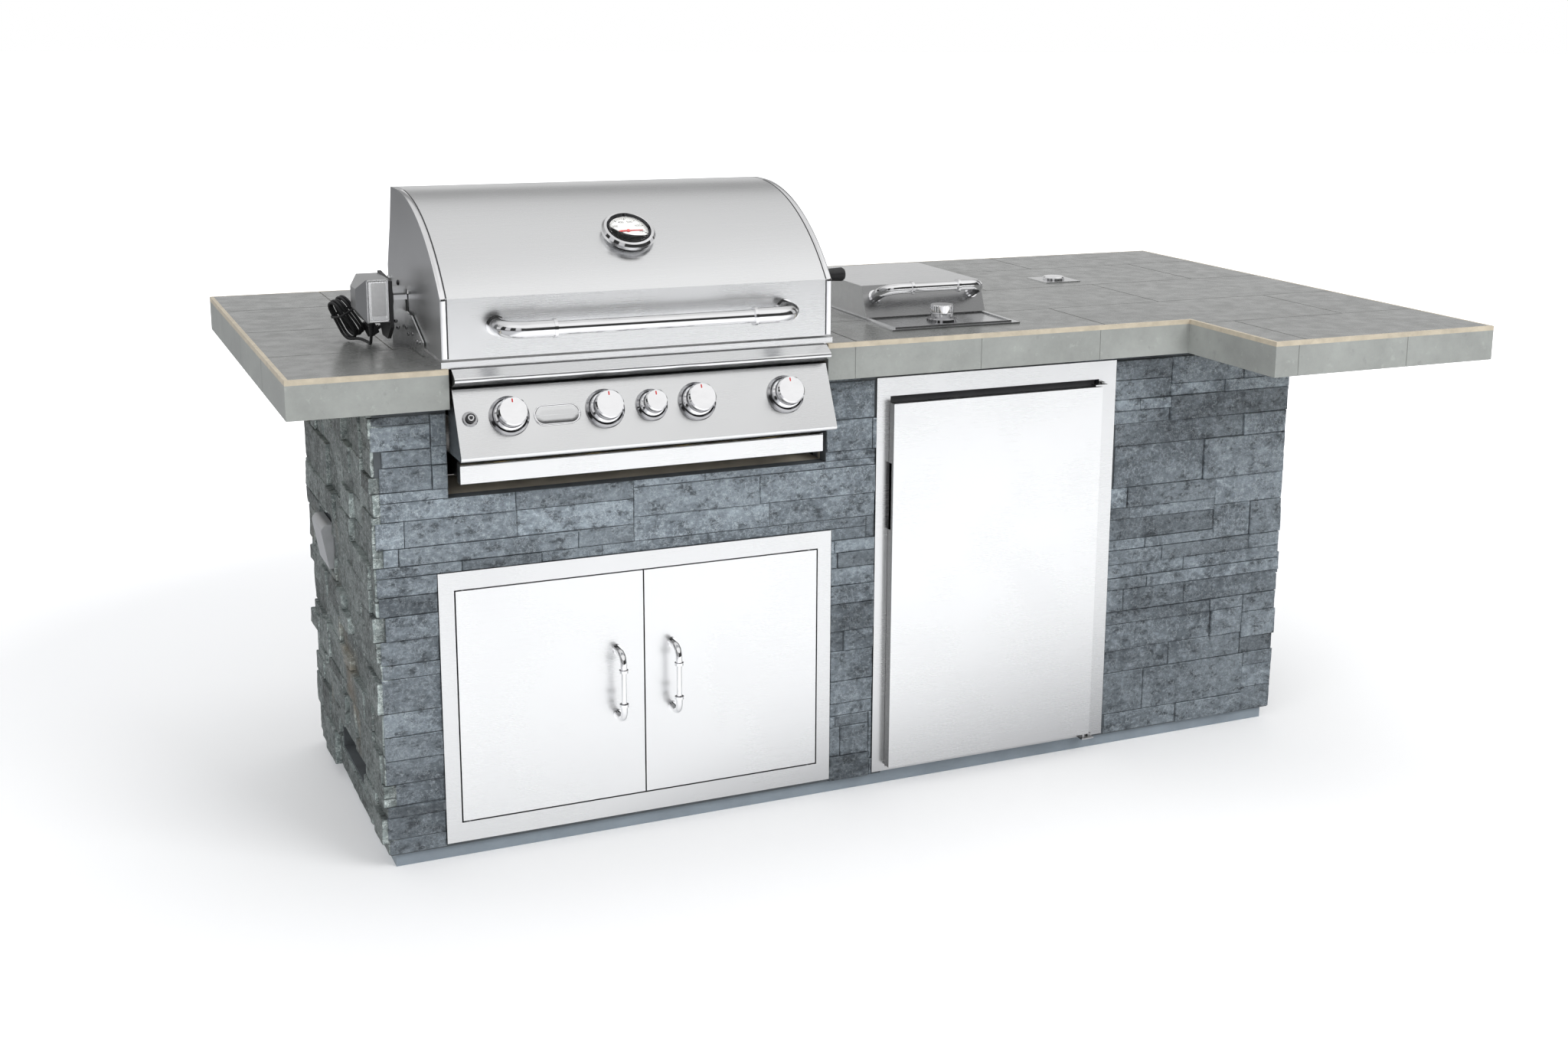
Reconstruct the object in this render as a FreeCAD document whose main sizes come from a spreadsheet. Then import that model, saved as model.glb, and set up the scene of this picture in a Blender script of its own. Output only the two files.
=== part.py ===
import FreeCAD, Part
import math
import os
import re
import Sketcher

# Outdoor kitchen island: a stone-clad base with an L-shaped tiled counter, a drop-in gas grill with a
# rotisserie, a side burner, a pair of access doors, a compact refrigerator and an umbrella sleeve.
# Places are given from the left end of the counter (x), from the front of its main run (y) and from
# the floor (z). Each sub-part is then shifted so that the model's origin is the middle of the
# counter's outline on the floor. The front faces -Y.

# Driving sizes in millimetres, and two angles in degrees.
SIZES = {
    # Counter
    "counter_length": 2595,
    "main_depth": 1108,
    "bar_reach": 320,
    "bar_width": 600,
    "counter_height": 1024,
    "apron_height": 77,
    "apron_thickness": 10,
    "tile_thickness": 10,
    "trim_width": 8,
    "tile_pitch": 305,
    "grout_width": 3,
    "grout_depth": 1.5,
    "deck_thickness": 18,
    "soffit_thickness": 12,
    "batten_width": 40,
    # Base
    "base_left": 165,
    "right_overhang": 278,
    "back_overhang": 296,
    "base_front": 50,
    "stone_thickness": 30,
    "backer_thickness": 12,
    "frame_tube": 30,
    "tube_wall": 2,
    "plinth_height": 30,
    "plinth_inset": 12,
    "plinth_width": 80,
    "recess_width": 808,
    "recess_drop": 264,
    "shelf_depth": 520,
    # Grill body
    "grill_centre": 700,
    "rim_width": 816,
    "rim_front": 7,
    "rim_height": 13,
    "rim_lap": 12,
    "grill_sheet": 2,
    "firebox_width": 776,
    "firebox_front": 78,
    "firebox_back": 474,
    "firebox_drop": 178,
    "shield_height": 66,
    "grate_drop": 12,
    "grate_thickness": 10,
    "tamer_drop": 75,
    "burner_drop": 122,
    "burner_diameter": 28,
    # Control panel
    "panel_front": 2,
    "panel_drop": 40,
    "panel_face": 136,
    "panel_lean": 26.5,
    "panel_depth": 36,
    "lip_radius": 8,
    "bullnose_reach": 28,
    "bullnose_height": 35,
    "knob_along": 60,
    "knob_diameter": 58,
    "knob_depth": 34,
    "bezel_diameter": 80,
    "small_knob_diameter": 45,
    "small_bezel_diameter": 66,
    "bezel_height": 9,
    "stem_diameter": 8,
    "igniter_diameter": 19,
    # Drip tray
    "tray_drop": 186,
    "tray_face": 40,
    "tray_front": -7,
    "tray_depth": 400,
    # Hood
    "hood_width": 812,
    "hood_front": 10,
    "hood_gap": 4,
    "hood_face": 117,
    "hood_roll_depth": 370,
    "hood_roll_rise": 176,
    "hood_flat": 45,
    "hood_shoulder": 75,
    "hood_skirt": 109,
    "hood_sheet": 2,
    "end_cap_width": 14,
    "end_plate": 2.5,
    "pivot_back": 16,
    "pivot_rise": 101,
    "pivot_diameter": 8,
    "handle_span": 600,
    "handle_reach": 74,
    "handle_rise": 62,
    "handle_thick": 33,
    "handle_bar": 27,
    "handle_sleeve": 95,
    "gauge_along": 0.275,
    "gauge_diameter": 109,
    # Rotisserie
    "spit_back": 301,
    "spit_rise": 86,
    "spit_square": 9.5,
    "spit_overhang": 158,
    "grip_diameter": 31,
    "grip_length": 100,
    "bracket_sheet": 3,
    "motor_length": 44,
    "motor_depth": 102,
    "motor_height": 86,
    "motor_stand_off": 49,
    "motor_nose": 17,
    "motor_plate": 7,
    "socket_diameter": 43,
    "socket_length": 12,
    # Cord
    "cord_diameter": 6,
    "hank_half_run": 24,
    "hank_half_width": 18,
    "hank_bottom_step": 7.4,
    "hank_top_step": 6.8,
    # Side burner
    "burner_left": 1289,
    "burner_width": 316,
    "burner_front": 93,
    "burner_depth": 521,
    "burner_rim": 3,
    "burner_lip": 12,
    "bowl_depth": 60,
    "lid_setback": 149,
    "lid_margin": 8,
    "lid_height": 68,
    "lid_lean": 30,
    "lid_depth": 352,
    "lid_handle_span": 244,
    "lid_handle_reach": 62,
    "side_knob_diameter": 53,
    "side_knob_height": 31,
    "side_knob_setback": 74,
    # Doors
    "doors_left": 278,
    "doors_width": 848,
    "doors_bottom": 38,
    "door_side_margin": 31,
    "door_bottom_margin": 41,
    "door_top_margin": 37,
    "door_gap": 3,
    "door_thickness": 18,
    "frame_flange": 6,
    "frame_return": 55,
    "door_handle_span": 142,
    "door_handle_reach": 45,
    "door_handle_offset": 60,
    "door_handle_rise": 297,
    # Refrigerator
    "fridge_left": 1231,
    "fridge_width": 601,
    "fridge_bottom": 36,
    "fridge_left_margin": 32,
    "fridge_right_margin": 45,
    "fridge_top_margin": 41,
    "fridge_bottom_margin": 10,
    "fridge_door_gap": 4,
    "fridge_door_front": 20,
    "fridge_wall": 30,
    "fridge_back_gap": 114,
    # Fittings
    "outlet_from_back": 293,
    "outlet_length": 115,
    "outlet_bottom": 503,
    "outlet_height": 97,
    "outlet_reach": 31,
    "vent_front": 250,
    "vent_length": 290,
    "vent_bottom": 86,
    "vent_height": 62,
    "umbrella_inset": 564,
    "umbrella_back": 666,
    "umbrella_plate": 100,
    "umbrella_tube": 46,
    "umbrella_cap": 56,
}

# Sizes that follow from the driving ones, worked out in the same sheet.
WORKED_OUT = {
    "base_right": "counter_length - right_overhang",
    "base_back": "main_depth - back_overhang",
    "sill_height": "counter_height - recess_drop",
    "recess_left": "grill_centre + 10 - recess_width / 2",
    "recess_right": "grill_centre + 10 + recess_width / 2",
    "cutout_left": "grill_centre - rim_width / 2 + rim_lap",
    "cutout_right": "grill_centre + rim_width / 2 - rim_lap",
    "cutout_back": "firebox_back + 10",
    "rim_back": "firebox_back + 24",
    "hood_back": "firebox_back + 13",
    "firebox_floor": "counter_height - firebox_drop",
    "burner_pitch": "firebox_width / 4 - 2",
    "panel_width": "firebox_width + 6",
    "igniter_offset": "firebox_width / 2 - 24",
    "tray_width": "firebox_width - 12",
    "panel_top": "counter_height - panel_drop",
    "tray_top": "counter_height - tray_drop",
    "spit_end": "grill_centre + rim_width / 2 + spit_overhang",
    "motor_right": "grill_centre - rim_width / 2 - motor_stand_off",
    "motor_left": "grill_centre - rim_width / 2 - motor_stand_off - motor_length",
    "motor_front": "spit_back - 0.7 * motor_depth",
    "motor_back": "spit_back + 0.3 * motor_depth",
    "motor_bottom": "counter_height + rim_height + spit_rise - 0.45 * motor_height",
    "motor_top": "counter_height + rim_height + spit_rise + 0.55 * motor_height",
    "doors_height": "counter_height - recess_drop - 151 - doors_bottom",
    "fridge_height": "counter_height - apron_height - 13 - fridge_bottom",
    "outlet_front": "main_depth - back_overhang - outlet_from_back",
    "umbrella_across": "counter_length - umbrella_inset",
}

# Clearances that pieces of different bodies keep from each other.
RUNNING = 0.05
SEATED = 0.3

# Heights and places that several pieces share, as formulas in the sizes above.
UNDERSIDE = "(counter_height - apron_height)"
FRAME_TOP = "(counter_height - apron_height + soffit_thickness)"
DECK_TOP = "(counter_height - tile_thickness)"
DECK_UNDER = "(counter_height - tile_thickness - deck_thickness)"
BAR_LEFT = "(counter_length - bar_width)"
SKIN = "(stone_thickness + backer_thickness)"
INNER_LEFT = "(base_left + stone_thickness + backer_thickness)"
INNER_RIGHT = "(base_right - stone_thickness - backer_thickness)"
INNER_FRONT = "(base_front + stone_thickness + backer_thickness)"
INNER_BACK = "(base_back - stone_thickness - backer_thickness)"
RIM_TOP = "(counter_height + rim_height)"
RIM_LEFT = "(grill_centre - rim_width / 2)"
RIM_RIGHT = "(grill_centre + rim_width / 2)"
BOX_LEFT = "(grill_centre - firebox_width / 2)"
BOX_RIGHT = "(grill_centre + firebox_width / 2)"
HOOD_LEFT = "(grill_centre - hood_width / 2)"
HOOD_RIGHT = "(grill_centre + hood_width / 2)"
HOOD_BOTTOM = "(counter_height + rim_height + hood_gap)"
HOOD_TOP = f"({HOOD_BOTTOM} + hood_face + hood_roll_rise)"
ROLL_END = "(hood_front + hood_roll_depth)"
ROLL_RADIUS = "((hood_roll_depth ^ 2 + hood_roll_rise ^ 2) / (2 * hood_roll_rise))"
PIVOT_Y = "(hood_back - pivot_back)"
PIVOT_Z = f"({RIM_TOP} + pivot_rise)"
SPIT_Z = f"({RIM_TOP} + spit_rise)"
# The motor cord leaves its strain relief here.
GLAND = ("(motor_left + 12)", "(motor_front + 30)", "(motor_bottom - 9)")

doc = FreeCAD.newDocument("OutdoorKitchenIsland")
dims = doc.addObject("Spreadsheet::Sheet", "dims")
cells = dict(SIZES)
cells.update({name: "=" + formula for name, formula in WORKED_OUT.items()})
for row, name in enumerate(cells, start=1):
    dims.set(f"A{row}", name)
    dims.setAlias(f"B{row}", name)
for row, content in enumerate(cells.values(), start=1):
    dims.set(f"B{row}", str(content))
doc.recompute()

Vector = FreeCAD.Vector
Rotation = FreeCAD.Rotation
AXIS_TURN = {
    "X": Rotation(Vector(0, 1, 0), 90),
    "Y": Rotation(Vector(1, 0, 0), -90),
    "Z": Rotation(),
}
nodes = []


def bound(formula):
    """The formula with each size name pointed at its cell of the sheet."""
    def cell(word):
        return "dims." + word[0] if word[0] in cells else word[0]
    return re.sub(r"[a-z_]+", cell, str(formula))


def number(formula):
    """The present value of a formula."""
    return float(dims.evalExpression(bound(formula)))


def bind(item, formulas):
    """Tie properties of a document object to formulas."""
    for path, formula in formulas.items():
        item.setExpression(path, bound(formula))


def move(item, x, y, z, turn=None):
    """Place an object by three formulas, with a fixed rotation if one is given."""
    if turn is not None:
        item.Placement = FreeCAD.Placement(Vector(), turn)
    bind(item, {"Placement.Base.x": x, "Placement.Base.y": y, "Placement.Base.z": z})
    return item


def block(x0, x1, y0, y1, z0, z1):
    """A rectangular block between two opposite corners."""
    item = doc.addObject("Part::Box", "Block")
    bind(item, {"Length": f"({x1}) - ({x0})", "Width": f"({y1}) - ({y0})", "Height": f"({z1}) - ({z0})"})
    return move(item, x0, y0, z0)


def rod(axis, x, y, z, radius, length):
    """A cylinder along one axis, from the given point onward."""
    item = doc.addObject("Part::Cylinder", "Rod")
    bind(item, {"Radius": radius, "Height": length})
    return move(item, x, y, z, AXIS_TURN[axis])


def fuse(*pieces):
    """One solid from pieces that touch or overlap."""
    item = doc.addObject("Part::MultiFuse", "Fused")
    item.Shapes = list(pieces)
    return item


def group(*pieces):
    """Several separate solids in one object."""
    item = doc.addObject("Part::Compound", "Group")
    item.Links = list(pieces)
    return item


def cut(base, *tools):
    """The base less every tool."""
    item = doc.addObject("Part::Cut", "Cut")
    item.Base = base
    item.Tool = tools[0] if len(tools) == 1 else group(*tools)
    return item


def common(first, second):
    """What two objects have in common."""
    item = doc.addObject("Part::MultiCommon", "Met")
    item.Shapes = [first, second]
    return item


def frame_ring(x0, x1, y0, y1, z0, z1, axis, inset):
    """A block with a hole right through it along one axis, leaving a border all round."""
    inner = {
        "X": (f"({x0}) - 1", f"({x1}) + 1", f"({y0}) + {inset}", f"({y1}) - {inset}",
              f"({z0}) + {inset}", f"({z1}) - {inset}"),
        "Y": (f"({x0}) + {inset}", f"({x1}) - {inset}", f"({y0}) - 1", f"({y1}) + 1",
              f"({z0}) + {inset}", f"({z1}) - {inset}"),
        "Z": (f"({x0}) + {inset}", f"({x1}) - {inset}", f"({y0}) + {inset}", f"({y1}) - {inset}",
              f"({z0}) - 1", f"({z1}) + 1"),
    }[axis]
    return cut(block(x0, x1, y0, y1, z0, z1), block(*inner))


def outline(body, plane, corners, level="0"):
    """A closed sketch through corners (u, v) or (u, v, radius); a radius bends the side that leaves it.

    A positive radius keeps its centre on the left of the side's direction, a negative one on the right.
    """
    sketch = body.newObject("Sketcher::SketchObject", "Outline")
    sketch.AttachmentSupport = [(next(f for f in body.Origin.OriginFeatures if f.Role == plane), "")]
    sketch.MapMode = "FlatFace"
    bind(sketch, {"AttachmentOffset.Base.z": level})
    points = [Vector(number(corner[0]), number(corner[1]), 0) for corner in corners]
    ends = []
    for index, corner in enumerate(corners):
        start = points[index]
        finish = points[(index + 1) % len(points)]
        if len(corner) == 2:
            sketch.addGeometry(Part.LineSegment(start, finish), False)
            ends.append((1, 2))
            continue
        bend = number(corner[2])
        chord = finish - start
        left = Vector(-chord.y, chord.x, 0).normalize()
        height = math.sqrt(max(bend * bend - chord.Length ** 2 / 4, 0))
        centre = (start + finish) * 0.5 + left * math.copysign(height, bend)
        first, last = (start, finish) if bend > 0 else (finish, start)
        circle = Part.Circle(centre, Vector(0, 0, 1), abs(bend))
        angles = [math.atan2(point.y - centre.y, point.x - centre.x) for point in (first, last)]
        sketch.addGeometry(Part.ArcOfCircle(circle, angles[0], angles[1]), False)
        ends.append((1, 2) if bend > 0 else (2, 1))
        rule = sketch.addConstraint(Sketcher.Constraint("Radius", index, abs(bend)))
        sketch.renameConstraint(rule, f"radius{index}")
        sketch.setExpression(f"Constraints.radius{index}", bound(f"abs({corner[2]})"))
    for index in range(len(corners)):
        following = (index + 1) % len(corners)
        sketch.addConstraint(
            Sketcher.Constraint("Coincident", index, ends[index][1], following, ends[following][0]))
        for kind, formula, value in (("DistanceX", corners[index][0], points[index].x),
                                     ("DistanceY", corners[index][1], points[index].y)):
            rule = sketch.addConstraint(Sketcher.Constraint(kind, -1, 1, index, ends[index][0], value))
            sketch.renameConstraint(rule, f"{kind}{index}")
            sketch.setExpression(f"Constraints.{kind}{index}", bound(formula))
    return sketch


def new_body():
    return doc.addObject("PartDesign::Body", "Body")


def pad(body, plane, corners, start, length):
    """Raise an outline into the body, from a level of the plane onward along the plane's normal."""
    feature = body.newObject("PartDesign::Pad", "Pad")
    feature.Profile = outline(body, plane, corners, start)
    bind(feature, {"Length": length})
    doc.recompute()
    return feature


def pocket(body, plane, corners, start, length):
    """Remove an outline from the body, from a level of the plane onward along the plane's normal."""
    before = body.Shape.Volume
    feature = body.newObject("PartDesign::Pocket", "Pocket")
    feature.Profile = outline(body, plane, corners, start)
    feature.Reversed = True
    bind(feature, {"Length": length})
    doc.recompute()
    if not body.Shape.Volume < before - 0.01:
        raise ValueError(f"a pocket of {body.Name} removed nothing")
    return feature


def turned(corners):
    """A body turned about its own Z axis from an outline of (radius, height) corners."""
    body = new_body()
    feature = body.newObject("PartDesign::Revolution", "Turned")
    sketch = outline(body, "XZ_Plane", corners)
    feature.Profile = sketch
    feature.ReferenceAxis = (sketch, ["V_Axis"])
    feature.Angle = 360
    doc.recompute()
    return body


def along_x(corners, x0, x1):
    """A body with a (y, z) outline, from x0 to x1."""
    body = new_body()
    pad(body, "YZ_Plane", corners, x0, f"({x1}) - ({x0})")
    return body


def along_y(corners, y0, y1):
    """A body with an (x, z) outline, from y0 to y1; the plane's normal is -Y."""
    body = new_body()
    pad(body, "XZ_Plane", corners, f"-({y1})", f"({y1}) - ({y0})")
    return body


def along_z(corners, z0, z1):
    """A body with an (x, y) outline, from z0 to z1."""
    body = new_body()
    pad(body, "XY_Plane", corners, z0, f"({z1}) - ({z0})")
    return body


def rectangle(u0, u1, v0, v1):
    return [(u0, v0), (u1, v0), (u1, v1), (u0, v1)]


def node(label, item):
    """Name a finished sub-part and shift it to the model's origin."""
    item.Label = label
    placed = dict(item.ExpressionEngine)
    shifts = {"x": "-counter_length / 2", "y": "(bar_reach - main_depth) / 2"}
    for axis, shift in shifts.items():
        path = f"Placement.Base.{axis}"
        before = placed.get("." + path) or placed.get(path) or f"{getattr(item.Placement.Base, axis):.6f}"
        item.setExpression(path, f"{before} + {bound(shift)}")
    nodes.append(item)
    return item


def counter_corners(inset):
    """The counter's L-shaped outline, drawn in by an inset."""
    return [
        (inset, inset),
        (f"{BAR_LEFT} + {inset}", inset),
        (f"{BAR_LEFT} + {inset}", f"-bar_reach + {inset}"),
        (f"counter_length - {inset}", f"-bar_reach + {inset}"),
        (f"counter_length - {inset}", f"main_depth - {inset}"),
        (inset, f"main_depth - {inset}"),
    ]


def counter_holes(z0, z1, front):
    """Blocks that clear the grill, the side burner and the umbrella tube out of the counter."""
    grill = block("cutout_left", "cutout_right", front, "cutout_back", z0, z1)
    side = block("burner_left + burner_lip", "burner_left + burner_width - burner_lip",
                 "burner_front + burner_lip", "burner_front + burner_depth - burner_lip", z0, z1)
    tube = rod("Z", "umbrella_across", "umbrella_back", z0,
               f"umbrella_tube / 2 + {SEATED}", f"({z1}) - ({z0})")
    return grill, side, tube


def square_tube(axis, x0, x1, y0, y1, z0, z1):
    """A hollow square tube of the frame along one axis."""
    return frame_ring(x0, x1, y0, y1, z0, z1, axis, "tube_wall")


def build_base():
    """Plinth, welded frame, backer boards and stone veneer."""
    inset = "plinth_inset"
    node("plinth_rail", frame_ring(
        f"base_left + {inset}", f"base_right - {inset}", f"base_front + {inset}", f"base_back - {inset}",
        "0", "plinth_height", "Z", "plinth_width"))

    tube = "frame_tube"
    post_left = [INNER_LEFT, "(recess_left - 7 - frame_tube)", "(recess_right + 2)",
                 "(fridge_left - 10 - frame_tube)", "(fridge_left + fridge_width + 2)",
                 f"({INNER_RIGHT} - frame_tube)"]
    front_row = (INNER_FRONT, f"{INNER_FRONT} + {tube}")
    back_row = (f"{INNER_BACK} - {tube}", INNER_BACK)
    top = (f"{FRAME_TOP} - {tube}", FRAME_TOP)
    bottom = ("plinth_height", f"plinth_height + {tube}")
    members = []
    for index, left in enumerate(post_left):
        for row_index, (y0, y1) in enumerate((front_row, back_row)):
            if row_index and index in (1, 4):
                continue
            members.append(square_tube("Z", left, f"{left} + {tube}", y0, y1, "plinth_height", FRAME_TOP))
    for index, (left, right) in enumerate(zip(post_left, post_left[1:])):
        x0, x1 = f"{left} + {tube}", right
        if index != 3:
            members.append(square_tube("X", x0, x1, *front_row, *bottom))
        if index != 1:
            members.append(square_tube("X", x0, x1, *front_row, *top))
    for left, right in ((0, 2), (2, 3), (3, 5)):
        x0, x1 = f"{post_left[left]} + {tube}", post_left[right]
        for z0, z1 in (bottom, top):
            members.append(square_tube("X", x0, x1, *back_row, z0, z1))
    y0, y1 = front_row[1], back_row[0]
    for index in (0, 2, 3, 5):
        left = post_left[index]
        levels = (bottom, top) if index in (0, 5) else (top,)
        for z0, z1 in levels:
            members.append(square_tube("Y", left, f"{left} + {tube}", y0, y1, z0, z1))
    # Outriggers on top of the frame carry the counter past the stone.
    batten = "(apron_thickness + batten_width)"
    for index in (0, 2, 5):
        left = post_left[index]
        front = f"{batten} - bar_reach" if index == 5 else INNER_FRONT
        members.append(block(left, f"{left} + {tube}", front, f"main_depth - {batten}", FRAME_TOP,
                             DECK_UNDER))
    for y0, y1 in (front_row, back_row):
        members.append(block(INNER_RIGHT, f"counter_length - {batten}", y0, y1, FRAME_TOP, DECK_UNDER))
        members.append(block(batten, INNER_LEFT, y0, y1, FRAME_TOP, DECK_UNDER))
    node("steel_frame", fuse(*members))

    stone = "stone_thickness"
    board = "backer_thickness"
    z0, z1 = "plinth_height", UNDERSIDE

    def front_openings(y0, y1):
        """Cuts for the grill recess, the door frame and the refrigerator."""
        recess = block("recess_left", "recess_right", y0, y1, "sill_height", f"{UNDERSIDE} + 1")
        doors = block("doors_left + door_side_margin - 6", "doors_left + doors_width - door_side_margin + 6",
                      y0, y1, "doors_bottom + door_bottom_margin - 6",
                      "doors_bottom + doors_height - door_top_margin + 6")
        fridge = block("fridge_left + fridge_left_margin - 8",
                       "fridge_left + fridge_width - fridge_right_margin + 8", y0, y1,
                       "plinth_height - 1", "fridge_bottom + fridge_height - fridge_top_margin + 6")
        return recess, doors, fridge

    def end_openings(x0, x1):
        """Cuts for the vent and the outlet box in the left end."""
        vent = block(x0, x1, "vent_front", "vent_front + vent_length", "vent_bottom",
                     "vent_bottom + vent_height")
        outlet = block(x0, x1, "outlet_front + 30", "outlet_front + outlet_length - 30",
                       "outlet_bottom + 20", "outlet_bottom + outlet_height - 25")
        return vent, outlet

    back_face = "base_back - stone_thickness"
    node("stone_front", cut(
        block("base_left", "base_right", "base_front", f"base_front + {stone}", z0, z1),
        *front_openings("base_front - 1", f"base_front + {stone} + 1")))
    left_end = cut(
        block("base_left", f"base_left + {stone}", f"base_front + {stone}", back_face, z0, z1),
        *end_openings("base_left - 1", f"base_left + {stone} + 1"))
    right_end = block(f"base_right - {stone}", "base_right", f"base_front + {stone}", back_face, z0, z1)
    node("stone_ends", group(left_end, right_end))
    node("stone_back", block("base_left", "base_right", back_face, "base_back", z0, z1))

    left, right = "base_left + stone_thickness", "base_right - stone_thickness"
    front_board = cut(
        block(left, right, "base_front + stone_thickness", INNER_FRONT, z0, z1),
        *front_openings(f"base_front + {stone} - 1", f"{INNER_FRONT} + 1"))
    left_board = cut(
        block(left, f"{left} + {board}", INNER_FRONT, INNER_BACK, z0, z1),
        *end_openings(f"{left} - 1", f"{left} + {board} + 1"))
    right_board = block(f"{right} - {board}", right, INNER_FRONT, INNER_BACK, z0, z1)
    back_board = block(left, right, INNER_BACK, back_face, z0, z1)
    shelf = block("recess_left", "recess_right", "base_front", "base_front + shelf_depth",
                  "sill_height - backer_thickness", "sill_height")
    shelf_notch = block("recess_left - 1", "recess_right + 1", "base_front - 1", INNER_FRONT,
                        "sill_height - backer_thickness - 1", "sill_height + 1")
    node("backer_boards", group(front_board, left_board, right_board, back_board, cut(shelf, shelf_notch)))


def build_counter():
    """Deck with battens and soffit, tiles with grout lines, apron tiles and edge trim."""
    board = along_z(counter_corners("apron_thickness"), DECK_UNDER, DECK_TOP)
    batten = along_z(counter_corners("apron_thickness"), FRAME_TOP, DECK_UNDER)
    pocket(batten, "XY_Plane", counter_corners("(apron_thickness + batten_width)"), f"{FRAME_TOP} - 1",
           f"{DECK_UNDER} - {FRAME_TOP} + 2")
    soffit = along_z(counter_corners("apron_thickness"), UNDERSIDE, FRAME_TOP)
    pocket(soffit, "XY_Plane", rectangle(INNER_LEFT, INNER_RIGHT, INNER_FRONT, INNER_BACK),
           f"{UNDERSIDE} - 1", "soffit_thickness + 2")
    holes = counter_holes(f"{UNDERSIDE} - 1", f"{DECK_TOP} + 1", "-1")
    node("counter_deck", cut(fuse(board, batten, soffit), *holes))

    tiles = along_z(counter_corners("trim_width"), DECK_TOP, "counter_height")
    grooves = []
    groove = ("counter_height - grout_depth", "counter_height + 1")
    row_fronts = ["-bar_reach", "tile_pitch - 50 - tile_pitch", "tile_pitch - 50", "2 * tile_pitch - 50",
                  "3 * tile_pitch - 50"]
    for row_index, front in enumerate(row_fronts):
        first = BAR_LEFT if row_index == 0 else "0"
        following = row_fronts[row_index + 1] if row_index < 4 else "main_depth"
        if row_index > 0:
            start = BAR_LEFT if row_index == 1 else "0"
            grooves.append(block(start, "counter_length", f"{front} - grout_width / 2",
                                 f"{front} + grout_width / 2", *groove))
        shift = "tile_pitch" if row_index % 2 else "0"
        for column in range(5):
            across = f"(250 + {shift} + {2 * column} * tile_pitch)"
            if number(across) < number(first) + 40 or number(across) > number("counter_length") - 40:
                continue
            grooves.append(block(f"{across} - grout_width / 2", f"{across} + grout_width / 2",
                                 front, following, *groove))
    # The tile round the umbrella tube is a solid of its own, and the others are one sheet.
    bored_tile = ("(250 + 5 * tile_pitch)", "(250 + 7 * tile_pitch)", row_fronts[3], row_fronts[4],
                  f"{DECK_TOP} - 1", "counter_height + 1")
    laid = []
    for cutter in (cut, common):
        holes = counter_holes(f"{DECK_TOP} - 1", "counter_height + 1", "-1")
        laid.append(cut(cutter(tiles, block(*bored_tile)), *holes, *grooves))
    node("counter_tiles", group(*laid))

    grill_gap = block("cutout_left", "cutout_right", "-1", "batten_width", f"{UNDERSIDE} - 1",
                      "counter_height + 1")
    apron = along_z(counter_corners("0"), UNDERSIDE, DECK_TOP)
    pocket(apron, "XY_Plane", counter_corners("apron_thickness"), f"{UNDERSIDE} - 1",
           f"{DECK_TOP} - {UNDERSIDE} + 2")
    joints = []
    for step in range(1, 4):
        across = f"(858 + {step} * (tile_pitch - 5))"
        joints.append(block(f"{across} - 1", f"{across} + 1", "-1", "1", UNDERSIDE, DECK_TOP))
        across = f"({BAR_LEFT} + 60 + {step - 1} * (tile_pitch - 10))"
        joints.append(block(f"{across} - 1", f"{across} + 1", "-bar_reach - 1", "-bar_reach + 1",
                            UNDERSIDE, DECK_TOP))
        depth = f"({step} * tile_pitch - 10)"
        joints.append(block("-1", "1", f"{depth} - 1", f"{depth} + 1", UNDERSIDE, DECK_TOP))
    node("apron_tiles", cut(apron, grill_gap, *joints))

    trim = along_z(counter_corners("0"), DECK_TOP, "counter_height")
    pocket(trim, "XY_Plane", counter_corners("trim_width"), f"{DECK_TOP} - 1", "tile_thickness + 2")
    node("edge_trim", cut(trim, block("cutout_left", "cutout_right", "-1", "batten_width",
                                      f"{DECK_TOP} - 1", "counter_height + 1")))


def panel_point(along):
    """A place on the leaning face of the control panel, down its slope from the top edge."""
    return (f"(panel_front - ({along}) * sin(panel_lean))", f"(panel_top - ({along}) * cos(panel_lean))")


def on_panel(item, x, along, lift="0"):
    """Stand an item that was made along Z square on the control panel."""
    y, z = panel_point(along)
    item.Placement = FreeCAD.Placement(Vector(), Rotation(Vector(1, 0, 0), 60))
    bind(item, {"Placement.Rotation.Angle": "90 - panel_lean"})
    return move(item, x, f"{y} - ({lift}) * cos(panel_lean)", f"{z} + ({lift}) * sin(panel_lean)")


KNOB_PLACES = ["-1.5 * burner_pitch", "-0.5 * burner_pitch", "0", "0.5 * burner_pitch",
               "1.5 * burner_pitch"]
MAIN_PLACES = [KNOB_PLACES[0], KNOB_PLACES[1], KNOB_PLACES[3], KNOB_PLACES[4]]


def firebox_block(z0, z1, inset="0"):
    return block(f"{BOX_LEFT} + {inset}", f"{BOX_RIGHT} - {inset}", f"firebox_front + {inset}",
                 f"firebox_back - {inset}", z0, z1)


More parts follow.
